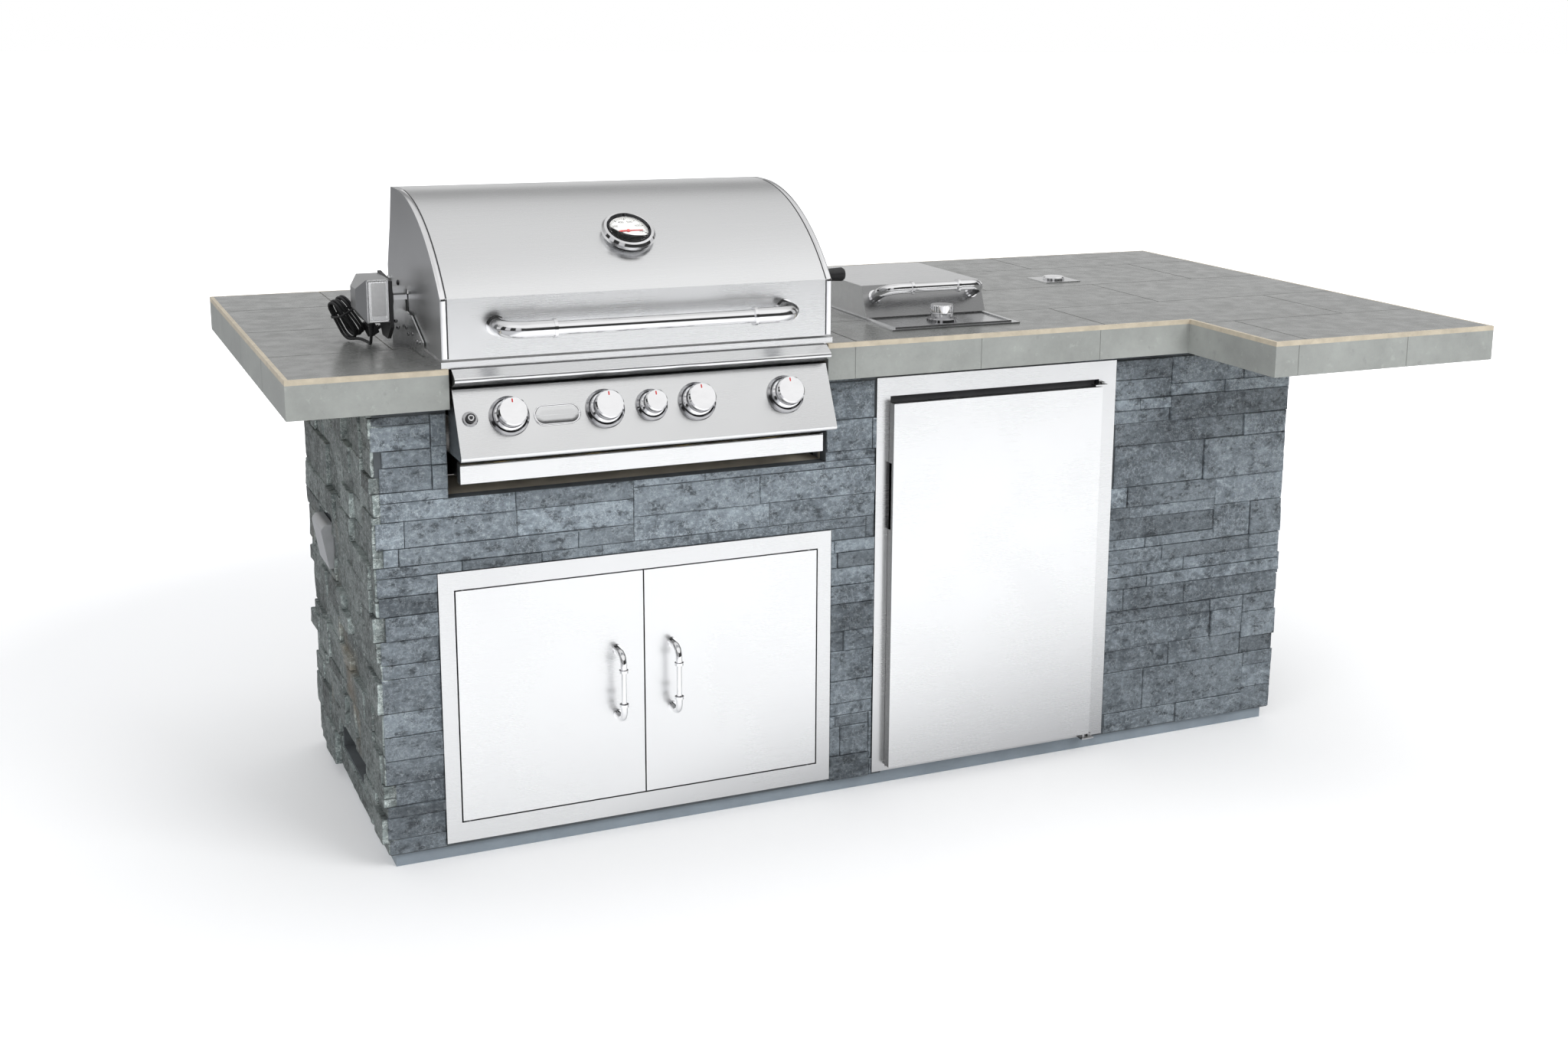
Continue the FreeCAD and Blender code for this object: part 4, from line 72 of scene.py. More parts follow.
class Look:
    """A node material, with short calls for the nodes that it needs."""

    def __init__(self, name, color, **values):
        self.material = bpy.data.materials.new(name)
        self.material.use_nodes = True
        self.tree = self.material.node_tree
        self.shader = self.tree.nodes["Principled BSDF"]
        self.place = self.add("TexCoord").outputs["Object"]
        self.set("Base Color", color)
        for socket, value in values.items():
            self.set(socket.replace("_", " "), value)

    def add(self, kind, inputs=None, **settings):
        item = self.tree.nodes.new("ShaderNode" + kind)
        for setting, value in settings.items():
            setattr(item, setting, value)
        for socket, value in (inputs or {}).items():
            self.join(item.inputs[socket], value)
        return item

    def join(self, socket, value):
        if isinstance(value, bpy.types.NodeSocket):
            self.tree.links.new(value, socket)
        elif isinstance(value, (tuple, list)) and socket.type == "RGBA":
            socket.default_value = tuple(value)[:3] + (1.0,)
        else:
            socket.default_value = value

    def set(self, socket, value):
        self.join(self.shader.inputs[socket], value)

    def scaled(self, x, y, z):
        return self.add("VectorMath", {0: self.place, 1: (x, y, z)}, operation="MULTIPLY").outputs[0]

    def noise(self, scale, detail=3.0, roughness=0.5, vector=None):
        inputs = {"Vector": vector or self.place, "Scale": scale, "Detail": detail, "Roughness": roughness}
        return self.add("TexNoise", inputs).outputs["Fac"]

    def between(self, value, low, high, out_low=0.0, out_high=1.0):
        return self.add("MapRange", {0: value, 1: low, 2: high, 3: out_low, 4: out_high}).outputs[0]

    def math(self, operation, first, second=0.0):
        return self.add("Math", {0: first, 1: second}, operation=operation).outputs[0]

    def mix(self, share, first, second, blend="MIX"):
        item = self.add("Mix", data_type="RGBA", blend_type=blend)
        self.join(item.inputs[0], share)
        self.join(item.inputs[6], first)
        self.join(item.inputs[7], second)
        return item.outputs[2]

    def axis(self, which):
        return self.add("SeparateXYZ", {0: self.place}).outputs[which]

    def bump(self, height, strength=0.3, distance=0.001):
        item = self.add("Bump", {"Height": height, "Strength": strength, "Distance": distance})
        self.set("Normal", item.outputs["Normal"])


def tone(color, share):
    return tuple(min(1.0, channel * share) for channel in color)


def brushed(name, color=(0.84, 0.845, 0.85), along="X", roughness=0.26, ends=1.0, front=1.0, dark_below=0.0):
    """Brushed steel: long fine streaks one way, and soft handling marks.

    Faces that look along X get painted shade and keep a share `ends` of the brightness,
    and faces toward the front get painted shade and keep a share `front`.
    Below the height `dark_below`, in metres, it is dark, with a ragged edge.
    """
    look = Look(name, color, Metallic=1.0)
    few, many = 5.0, 900.0
    scale = {"X": (few, many, many), "Y": (many, few, many), "Z": (many, many, few)}[along]
    streaks = look.noise(1.0, 3.0, 0.6, look.scaled(*scale))
    marks = look.noise(5.0, 3.0, 0.5)
    streaks_and_shade = look.mix(look.between(streaks, 0.3, 0.7), tone(color, 0.975), color)
    if ends < 1 or front < 1:
        facing = look.add("SeparateXYZ", {0: look.add("TexCoord").outputs["Normal"]}).outputs
        # Painted shade on faces that look along X.
        if ends < 1:
            ends_shade_mask = look.math("ABSOLUTE", facing[0])
            streaks_and_shade = look.mix(look.between(ends_shade_mask, 0.85, 0.95), streaks_and_shade, tone(color, ends))
        # Painted shade on faces toward the front.
        if front < 1:
            streaks_and_shade = look.mix(look.between(facing[1], -0.4, -0.8), streaks_and_shade, tone(color, front))
    if dark_below:
        height = look.math("ADD", look.axis(2), look.math("MULTIPLY", marks, 0.02))
        streaks_and_shade = look.mix(look.between(height, dark_below, dark_below + 0.01), (0.13, 0.125, 0.12), streaks_and_shade)
    look.set("Base Color", streaks_and_shade)
    mixed = look.math("ADD", look.between(streaks, 0.25, 0.75, roughness - 0.015, roughness + 0.02),
                      look.between(marks, 0.35, 0.75, -0.01, 0.03))
    look.set("Roughness", mixed)
    look.bump(streaks, 0.01, 0.0002)
    return look.material


def polished(name, color=(0.80, 0.80, 0.81), roughness=0.06):
    """Polished chrome with faint smears."""
    look = Look(name, color, Metallic=1.0)
    smears = look.noise(22.0, 3.0, 0.6, look.scaled(1.0, 0.4, 2.0))
    look.set("Roughness", look.between(smears, 0.4, 0.8, roughness, roughness + 0.08))
    look.set("Base Color", look.mix(look.between(smears, 0.3, 0.8), color, tone(color, 0.93)))
    look.bump(look.noise(6.0, 2.0), 0.05, 0.002)
    return look.material


def ledger_stone(name, light, dark, bright, warm=0.0):
    """Split slate: painted shade in the hollows and painted highlight on the ridges, pale scratches and grit,
    a tone for each point with painted edge light, and a rough face.
    """
    look = Look(name, light)
    tone_and_painted_light = look.add("Attribute", attribute_name="tone").outputs["Fac"]
    clouds = look.noise(7.0, 4.0, 0.6)
    cleft = look.noise(1.0, 8.0, 0.72, look.scaled(36.0, 36.0, 58.0))
    flecks = look.noise(1.0, 4.0, 0.75, look.scaled(100.0, 100.0, 140.0))
    drifts = look.noise(1.0, 7.0, 0.7, look.scaled(30.0, 30.0, 22.0))
    veins = look.math("ABSOLUTE", look.math("SUBTRACT", drifts, 0.5))
    color = look.mix(look.between(clouds, 0.36, 0.64), dark, light)
    # Painted shade in the cleft's hollows and painted highlight on its ridges, where the bump lowers and
    # raises the face.
    color = look.mix(look.between(cleft, 0.47, 0.38, 0.0, 0.85), color, tone(dark, 0.42))
    color = look.mix(look.between(cleft, 0.53, 0.64, 0.0, 0.60), color, tone(light, 1.5))
    color = look.mix(look.between(veins, 0.014, 0.0, 0.0, 0.60), color, bright)
    color = look.mix(look.between(flecks, 0.54, 0.68, 0.0, 0.50), color, bright)
    color = look.mix(look.between(flecks, 0.45, 0.32, 0.0, 0.42), color, tone(dark, 0.40))
    if warm:
        stain = look.between(look.noise(5.0, 3.0), 0.60, 0.75, 0.0, warm)
        color = look.mix(stain, color, (0.28, 0.20, 0.12))
    # Each point's tone carries painted light and shade along the strips' edges.
    shaded = look.add("VectorMath", {0: color, 1: tone_and_painted_light}, operation="MULTIPLY")
    look.set("Base Color", shaded.outputs[0])
    look.set("Roughness", look.between(flecks, 0.35, 0.65, 0.74, 0.46))
    relief = look.math("ADD", look.math("MULTIPLY", cleft, 1.3), look.math("MULTIPLY", flecks, 0.4))
    look.bump(relief, 0.9, 0.006)
    return look.material


def tile_look():
    """Satin porcelain, with a slightly darker grout in the grooves."""
    base = (0.170, 0.173, 0.166)
    look = Look("counter_tile", base)
    clouds = look.noise(2.6, 5.0, 0.6)
    veins = look.noise(14.0, 6.0, 0.65, look.scaled(0.6, 1.0, 1.0))
    color = look.mix(look.between(clouds, 0.3, 0.7), tone(base, 0.90), tone(base, 1.10))
    color = look.mix(look.between(veins, 0.5, 0.7, 0.0, 0.35), color, tone(base, 0.84))
    fine = look.noise(500.0, 2.0)
    color = look.mix(look.between(fine, 0.4, 0.6, 0.0, 0.05), color, tone(base, 1.3))
    grout = look.between(look.axis(2), 1.0232, 1.0236, 1.0, 0.0)
    color = look.mix(grout, color, (0.22, 0.215, 0.20))
    look.set("Base Color", color)
    look.set("Roughness", look.between(look.noise(30.0, 4.0), 0.3, 0.7, 0.20, 0.32))
    look.bump(look.noise(60.0, 3.0), 0.02, 0.0006)
    return look.material


def apron_look():
    """Concrete-look porcelain: cloudy, with small pale scuffs and pits."""
    base = (0.300, 0.312, 0.295)
    look = Look("apron_tile", base)
    clouds = look.noise(6.0, 6.0, 0.68)
    scuffs = look.noise(38.0, 5.0, 0.7)
    color = look.mix(look.between(clouds, 0.32, 0.68), tone(base, 0.82), tone(base, 1.16))
    color = look.mix(look.between(scuffs, 0.60, 0.72, 0.0, 0.45), color, tone(base, 1.55))
    color = look.mix(look.between(scuffs, 0.40, 0.28, 0.0, 0.40), color, tone(base, 0.66))
    look.set("Base Color", color)
    look.set("Roughness", look.between(clouds, 0.3, 0.7, 0.36, 0.56))
    look.bump(scuffs, 0.12, 0.001)
    return look.material


def plain(name, color, roughness=0.6, spread=0.12, scale=24.0, depth=0.15, metallic=0.0):
    """A surface of one colour with a little cloudiness, grain and wear."""
    look = Look(name, color, Metallic=metallic)
    clouds = look.noise(scale, 5.0, 0.6)
    darker, lighter = tone(color, 1 - spread), tone(color, 1 + spread)
    look.set("Base Color", look.mix(look.between(clouds, 0.3, 0.7), darker, lighter))
    look.set("Roughness", look.between(clouds, 0.3, 0.7, roughness - 0.08, roughness + 0.08))
    look.bump(look.noise(scale * 14, 3.0), depth, 0.0006)
    return look.material


STEEL = brushed("steel_brushed")
# Three steels get painted shade: the doors', panels' and trims' on faces that look along X, and the side
# burner's on faces toward the front.
STEEL_SHADED_ENDS = brushed("steel_painted_shade_ends", ends=0.25)
STEEL_BOX = brushed("steel_firebox", dark_below=1.005)
STEEL_TRIM = brushed("steel_trim_painted_shade_ends", color=(0.76, 0.765, 0.77), ends=0.25)
STEEL_SHADED_FRONT = brushed("steel_lid_painted_shade_front", front=0.42)
STEEL_UP = brushed("steel_brushed_up", along="Z")
STEEL_DEEP = brushed("steel_brushed_deep", along="Y", color=(0.66, 0.665, 0.67), roughness=0.34)
STEEL_GREY = brushed("steel_brushed_grey", along="Z", color=(0.40, 0.405, 0.41), roughness=0.30)
STEEL_DULL = brushed("steel_dull", color=(0.42, 0.42, 0.43), roughness=0.42)
CHROME = polished("chrome_polished", (0.90, 0.90, 0.91), 0.04)
# Darker chrome: a painted dark reflection, for the knob bezels and the bracket rivets.
CHROME_DARKENED = polished("chrome_painted_dark_reflection", (0.42, 0.42, 0.43), 0.08)
# Dark metal: painted shade in the hood's seams and round the dial, and the screw head in the hood's end.
DARK_SHADE_AND_METAL = plain("dark_metal_and_painted_shade", (0.045, 0.045, 0.048), 0.35, 0.2, 60.0, 0.05, 0.6)
STONE = ledger_stone("ledger_blue", (0.232, 0.270, 0.300), (0.128, 0.151, 0.171), (0.50, 0.56, 0.60))
STONE_END = ledger_stone("ledger_green", (0.150, 0.172, 0.168), (0.078, 0.092, 0.090), (0.40, 0.43, 0.42),
                         warm=0.35)
TILE = tile_look()
APRON = apron_look()
TRIM = plain("edge_cream", (0.50, 0.44, 0.34), 0.5, 0.14, 40.0)
PLINTH = plain("plinth_blue", (0.235, 0.275, 0.310), 0.62, 0.10, 12.0)
BOARD = plain("cement_board", (0.42, 0.38, 0.31), 0.85, 0.16, 20.0, 0.4)
GALVANISED = plain("galvanised", (0.42, 0.43, 0.44), 0.42, 0.20, 60.0, 0.1, 0.85)
# Painted shade: the dark core of the stone walls that shows in the gaps between the strips.
GAP_SHADE = plain("stone_gap_painted_shade", (0.085, 0.095, 0.102), 0.9, 0.2, 30.0, 0.5)
IRON = plain("cast_iron", (0.030, 0.030, 0.031), 0.55, 0.25, 60.0, 0.5)
BLACK = plain("black_moulded", (0.020, 0.020, 0.021), 0.42, 0.25, 90.0, 0.3)
RUBBER = plain("black_rubber", (0.014, 0.014, 0.015), 0.48, 0.3, 140.0, 0.3)
BRASS = plain("brass", (0.62, 0.47, 0.20), 0.30, 0.1, 50.0, 0.05, 1.0)
RED = plain("needle_red", (0.50, 0.02, 0.02), 0.35, 0.1, 60.0, 0.05)
CABINET = plain("cooler_case", (0.10, 0.10, 0.105), 0.5, 0.12, 30.0, 0.1)
OUTLET = plain("outlet_grey", (0.44, 0.45, 0.46), 0.42, 0.10, 30.0, 0.1, 0.4)
VENT = plain("vent_metal", (0.62, 0.60, 0.55), 0.55, 0.30, 40.0, 0.3, 0.5)

MATERIAL_OF = {
    "counter_tiles": TILE, "apron_tiles": APRON, "edge_trim": TRIM, "plinth_rail": PLINTH,
    "counter_deck": BOARD, "backer_boards": BOARD, "steel_frame": GALVANISED,
    # The stone slabs' dark colour is painted shade in the gaps between the strips.
    "stone_front": GAP_SHADE, "stone_ends": GAP_SHADE, "stone_back": GAP_SHADE,
    "hood_shell": STEEL, "hood_ends": STEEL_DEEP, "hood_handle": CHROME,
    "thermometer_case": CHROME, "thermometer_needle": RED,
    "grill_firebox": STEEL_BOX, "panel_bullnose": STEEL_SHADED_ENDS, "control_panel": STEEL_SHADED_ENDS,
    "drip_tray": STEEL_SHADED_ENDS,
    # The knob bezels are chrome darkened as a painted dark reflection.
    "knob_bezels": CHROME_DARKENED, "burner_knob_1": CHROME, "burner_knob_2": CHROME, "burner_knob_3": CHROME,
    "burner_knob_4": CHROME, "rear_burner_knob": CHROME, "igniter_button": BLACK,
    "main_burners": STEEL_DULL, "flame_tamers": STEEL_DULL, "rear_burner": STEEL_DULL,
    "warming_rack": CHROME, "cooking_grates": STEEL_DULL, "gas_manifold": BRASS,
    "spit_brackets": STEEL_UP, "motor_case": STEEL_GREY, "motor_plate": BLACK, "spit_rod": CHROME,
    "spit_handle": BLACK, "motor_cord": RUBBER, "cord_hank": RUBBER, "cord_plug": RUBBER,
    "burner_tray": STEEL_SHADED_FRONT, "burner_lid": STEEL_SHADED_FRONT, "lid_handle": CHROME, "side_burner_knob": CHROME,
    "burner_head": IRON, "pan_support": IRON,
    "door_frame": STEEL_TRIM, "door_left": STEEL_SHADED_ENDS, "door_right": STEEL_SHADED_ENDS,
    "door_handle_left": CHROME, "door_handle_right": CHROME,
    "fridge_frame": STEEL_TRIM, "fridge_door": STEEL_SHADED_ENDS, "fridge_cabinet": CABINET,
    "fridge_shelves": CHROME,
    "umbrella_sleeve": STEEL, "umbrella_cap": CHROME, "outlet_box": OUTLET, "outlet_cover": OUTLET,
    "vent_grille": VENT,
}
for label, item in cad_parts.items():
    item.data.materials.clear()
    item.data.materials.append(MATERIAL_OF[label])


def piece(name, points, faces, material, body, smooth=False):
    """A mesh piece from points in metres, riding on a body."""
    mesh = bpy.data.meshes.new(name)
    mesh.from_pydata([tuple(p) for p in points], [], faces)
    mesh.materials.append(material)
    mesh.polygons.foreach_set("use_smooth", [smooth] * len(mesh.polygons))
    mesh.update()
    item = bpy.data.objects.new(name, mesh)
    bpy.context.scene.collection.objects.link(item)
    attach(item, body)
    return item


class Bench:
    """Local millimetre axes on a surface: across it, up along it, and out of it."""

    def __init__(self, origin, across, out):
        self.origin = Vector(origin)
        self.out = Vector(out).normalized()
        self.across = Vector(across).normalized()
        self.up = self.out.cross(self.across)

    def __call__(self, a, b, c):
        return at(*(self.origin + self.across * a + self.up * b + self.out * c))


def turned(bench, centre, outline, steps=32):
    """Points and faces of a round form on a bench, from (radius, lift) pairs."""
    points, faces = [], []
    for radius, lift in outline:
        for step in range(steps):
            angle = 2 * math.pi * step / steps
            along, above = radius * math.cos(angle), radius * math.sin(angle)
            points.append(bench(centre[0] + along, centre[1] + above, lift))
    for ring in range(len(outline) - 1):
        for step in range(steps):
            following = (step + 1) % steps
            a, b = ring * steps + step, ring * steps + following
            faces.append((a, b, b + steps, a + steps))
    faces.append(tuple(range((len(outline) - 1) * steps, len(outline) * steps)))
    return points, faces


def rounded(bench, centre, half_wide, half_high, corner, outline, cap=True, steps=10):
    """A plate or band with round corners, as rings of (inset, lift)."""
    points, faces = [], []
    for inset, lift in outline:
        for quarter, (sx, sz) in enumerate(((1, 1), (-1, 1), (-1, -1), (1, -1))):
            for step in range(steps):
                angle = math.radians(90 * (quarter + step / (steps - 1)))
                radius = max(corner - inset, 0.3)
                x = centre[0] + sx * (half_wide - corner) + radius * math.cos(angle)
                z = centre[1] + sz * (half_high - corner) + radius * math.sin(angle)
                points.append(bench(x, z, lift))
    count = 4 * steps
    for ring in range(len(outline) - 1):
        for step in range(count):
            a, b = ring * count + step, ring * count + (step + 1) % count
            faces.append((a, b, b + count, a + count))
    if cap:
        faces.append(tuple(range((len(outline) - 1) * count, len(outline) * count)))
    return points, faces


def merged(parts):
    """Several (points, faces) as one."""
    points, faces = [], []
    for some_points, some_faces in parts:
        start = len(points)
        points += some_points
        faces += [tuple(start + index for index in face) for face in some_faces]
    return points, faces


DOME = [(1.0, 0.0), (0.98, 0.18), (0.85, 0.40), (0.60, 0.56), (0.25, 0.64)]


def screws(name, bench, places, radius, material, body):
    """Dome-headed screws at places (across, up) on a bench."""
    parts = [turned(bench, place, [(radius * r, radius * h) for r, h in DOME], 16) for place in places]
    return piece(name, *merged(parts), material, body, smooth=True)


# The cord's route behind the motor, as in the model's source, in metres.
ROUTE = [
    (-1.0865, -0.1344, 1.0753), (-1.0865, -0.1344, 1.0575), (-1.0860, -0.1253, 1.0415),
    (-1.0845, -0.1089, 1.0324), (-1.0815, -0.0797, 1.0311), (-1.0927, -0.0432, 1.0349),
]
CORD = 0.006

# The hank: its middle in millimetres, the direction of its runs, and the one in which its loops stack.
HANK = Vector((186, 391.6, 1072.5))
HANK_UP = Vector((-0.43, 0, 0.90)).normalized()
HANK_LEAN = Vector((0.90, 0.37, 0.20))
HANK_STACK = (HANK_LEAN - HANK_UP * HANK_LEAN.dot(HANK_UP)).normalized()
LOOPS = 5
STRAIGHT = 24


def hank_points():
    """Points of the five tied loops, twelve and more a turn, then the last run down to the plug."""
    across = HANK_STACK.cross(HANK_UP)
    centre = at(*HANK)
    points = []

    def put(along, aside, level):
        points.append(centre + (HANK_UP * along + across * aside + HANK_STACK * level) / 1000)

    def width(loop):
        return 18 * (1 + math.sin(2.4 * loop) / 15)

    def bottom(loop):
        return (loop - 2) * 7.4

    def top(loop):
        return (loop - 2) * 6.8

    def bend(end, wide, degrees, level):
        """A point of the bend at the upper or lower end, a little outside its circle."""
        angle = math.radians(degrees)
        put(end * STRAIGHT + end * 1.04 * wide * math.sin(angle), -end * 1.04 * wide * math.cos(angle), level)

    turns = [18, 54, 90, 126, 162]
    put(-STRAIGHT - width(0), 0, bottom(0))
    for degrees in (126, 162):
        bend(-1, width(0), degrees, bottom(0))
    for loop in range(LOOPS):
        wide = width(loop)
        for along in (-14, 0, 14):
            share = (along + STRAIGHT) / (2 * STRAIGHT)
            put(along, -wide, bottom(loop) + (top(loop) - bottom(loop)) * share)
        for degrees in turns:
            bend(1, wide, degrees, top(loop))
        if loop == LOOPS - 1:
            break
        following = width(loop + 1)
        for along in (14, 0, -14):
            share = (STRAIGHT - along) / (2 * STRAIGHT)
            put(along, wide + (following - wide) * share, top(loop) + (bottom(loop + 1) - top(loop)) * share)
        for degrees in turns:
            bend(-1, following, degrees, bottom(loop + 1))
    wide = width(LOOPS - 1)
    put(14, wide, top(LOOPS - 1) + 2)
    put(4, wide, top(LOOPS - 1) + 6)
    put(-6, wide, 22)
    put(-16, wide, 27)
    put(-24, wide, 27.8)
    return points


def add_cord():
    """The motor's lead: from its exit down behind the motor, round the hank and to the plug."""
    points = [Vector(p) for p in ROUTE] + hank_points()
    curve = bpy.data.curves.new("motor_lead", "CURVE")
    curve.dimensions = "3D"
    curve.bevel_depth = CORD / 2
    curve.bevel_resolution = 4
    curve.resolution_u = 8
    curve.use_fill_caps = True
    spline = curve.splines.new("NURBS")
    spline.points.add(len(points) - 1)
    for point, place in zip(spline.points, points):
        point.co = (*place, 1)
    spline.order_u = 3
    spline.use_endpoint_u = True
    curve.materials.append(RUBBER)
    lead = bpy.data.objects.new("motor_lead", curve)
    bpy.context.scene.collection.objects.link(lead)
    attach(lead, "island")
    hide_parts("motor_cord", "cord_hank")
    return lead


lead = add_cord()


def add_cord_pieces():
    """The ribbed strain relief at the motor, and the tie round the hank."""
    relief = Bench((211.0, 259.6, 1077.0), (1, 0, 0), (0, 0, -1))
    outline = [(6.2, -2)]
    for step in range(6):
        radius = 6.0 - 0.42 * step
        outline += [(radius, 3.6 * step), (radius, 3.6 * step + 2.2), (radius - 0.9, 3.6 * step + 2.4),
                    (radius - 0.9, 3.6 * step + 3.4)]
    outline.append((3.1, 22.4))
    tie = Bench(HANK + Vector((-0.43, 0, 0.90)) * 12, HANK_STACK, HANK_UP)
    rings = [(0.5, -2.4), (-0.5, -1.6), (-0.5, 1.6), (0.5, 2.4)]
    points, faces = rounded(tie, (0, 0), 20.5, 23.5, 9, rings, cap=False)
    band = piece("hank_tie", points, faces, BLACK, "island", smooth=True)
    boot = piece("cord_relief", *turned(relief, (0, 0), outline, 24), RUBBER, "island", smooth=True)
    return [boot, band]


cord_pieces = add_cord_pieces()


def cut_away(rectangle, hole):
    """What is left of a rectangle (left, right, low, high) outside a hole, as rectangles."""
    left, right, low, high = rectangle
    hole_left, hole_right, hole_low, hole_high = hole
    if hole_left >= right or hole_right <= left or hole_low >= high or hole_high <= low:
        return [rectangle]
    rest = []
    if hole_low > low:
        rest.append((left, right, low, hole_low))
    if hole_high < high:
        rest.append((left, right, hole_high, high))
    low, high = max(low, hole_low), min(high, hole_high)
    if hole_left > left:
        rest.append((left, hole_left, low, high))
    if hole_right < right:
        rest.append((hole_right, right, low, high))
    return rest


# The faces of the stone, and the holes in the walls as (left, right, low, high).
STONE_LEFT, STONE_RIGHT, STONE_FRONT, STONE_BACK = 165, 2317, 50, 812
STONE_LOW, STONE_HIGH = 31, 946
LENGTH, DEPTH = STONE_RIGHT - STONE_LEFT, STONE_BACK - STONE_FRONT
CUPBOARD = (278 - STONE_LEFT, 1126 - STONE_LEFT, 0, 609)
COOLER = (1231 - STONE_LEFT, 1832 - STONE_LEFT, 0, 934)
RECESS = (306 - STONE_LEFT, 1114 - STONE_LEFT, 760, 960)
SOCKET = (STONE_BACK - 640, STONE_BACK - 513, 497, 622)
VENT_HOLE = (STONE_BACK - 546, STONE_BACK - 244, 80, 154)
OVER_SOCKET = (STONE_BACK - 640, STONE_BACK - 513, 607, 622)

# Ledger panels are this high, and their strips at least this long.
PANEL_HEIGHT = 150.0
SHORTEST = 50


def panel_strips(chance, length, low, high, longest):
    """Ledger panels of two to four courses each, in running bond and cut into strips up to the longest."""
    strips = []
    level = low
    course = 0
    while level < high - 8:
        tall = min(PANEL_HEIGHT, high - level)
        left = -chance.uniform(120, 480) if course % 2 else -chance.uniform(0, 160)
        while left < length:
            wide = chance.uniform(500, 600)
            shares = [chance.uniform(0.5, 1.7) for _ in range(chance.choice((2, 3, 3, 4)))]
            total = sum(shares)
            z = level
            for share in shares:
                rise = tall * share / total
                x = left
                while x < left + wide - 1:
                    step = min(chance.uniform(0.25, 1.0) * longest, left + wide - x)
                    if left + wide - x - step < SHORTEST:
                        step = left + wide - x
                    strips.append((x, x + step, z, z + rise))
                    x += step
                z += rise
            left += wide
        level += tall
        course += 1
    return strips


def strip_mesh(bench, chance, rectangle, proud, foot, roughness, ends_highlight):
    """One split stone, as a rough grid that is broken back along its edges, and a share of tone per point for
    painted edge light and shade.

    proud is how far it stands out of the wall, and foot how far its sides reach back.
    """
    left, right, low, high = rectangle
    wide, tall = right - left, high - low
    inner = max(1, round(wide / 14))
    across_stops = [0, 2.5 / wide] + [i / inner for i in range(1, inner)] + [1 - 2.5 / wide, 1]
    inner = max(1, round(tall / 10))
    up_stops = [0, 2.0 / tall] + [i / inner for i in range(1, inner)] + [1 - 2.0 / tall, 1]
    columns, rows = len(across_stops) - 1, len(up_stops) - 1
    lean_x, lean_z = chance.uniform(-1.2, 1.2), chance.uniform(-1.0, 1.0)
    seed = Vector((chance.uniform(0, 50), chance.uniform(0, 50), 0))
    top_edge_highlight = chance.uniform(1.2, 2.0)
    points, shares = [], []
    for row, v in enumerate(up_stops):
        for column, u in enumerate(across_stops):
            a, b = left + wide * u, low + tall * v
            spot = Vector((a, b, 0)) / 34 + seed
            lift = proud + lean_x * (u - 0.5) * 2 + lean_z * (v - 0.5) * 2
            lift += roughness * (noise.noise(spot) * 1.1 + noise.noise(spot * 3.1) * 0.8)
            share = 1.0
            if column in (0, columns) or row in (0, rows):
                lift -= 0.9 + 1.9 * abs(noise.noise(spot * 5.0))
                a += 0.8 * (1 if column == 0 else -1 if column == columns else 0)
                b += 0.8 * (1 if row == 0 else -1 if row == rows else 0)
                # Painted highlight along the top edge and the broken ends, and painted shade along the bottom
                # edge.
                share = top_edge_highlight if row == rows else 0.45 if row == 0 else ends_highlight
            points.append((a, b, max(lift, 0.4)))
            shares.append(share)
    across = columns + 1
    faces = [(r * across + c, r * across + c + 1, (r + 1) * across + c + 1, (r + 1) * across + c)
             for r in range(rows) for c in range(columns)]
    rim = [c for c in range(across)] + [r * across + columns for r in range(1, rows + 1)]
    rim += [rows * across + c for c in range(columns - 1, -1, -1)]
    rim += [r * across for r in range(rows - 1, 0, -1)]
    start = len(points)
    points += [(points[i][0], points[i][1], -foot) for i in rim]
    # Painted shade on the sides of strips at the wall's corners, and 0.8 of the ends' painted highlight on
    # the others.
    shares += [0.55 if foot > 5 else 0.8 * ends_highlight] * len(rim)
    count = len(rim)
    faces += [(rim[(k + 1) % count], rim[k], start + k, start + (k + 1) % count) for k in range(count)]
    return [bench(*p) for p in points], faces, shares


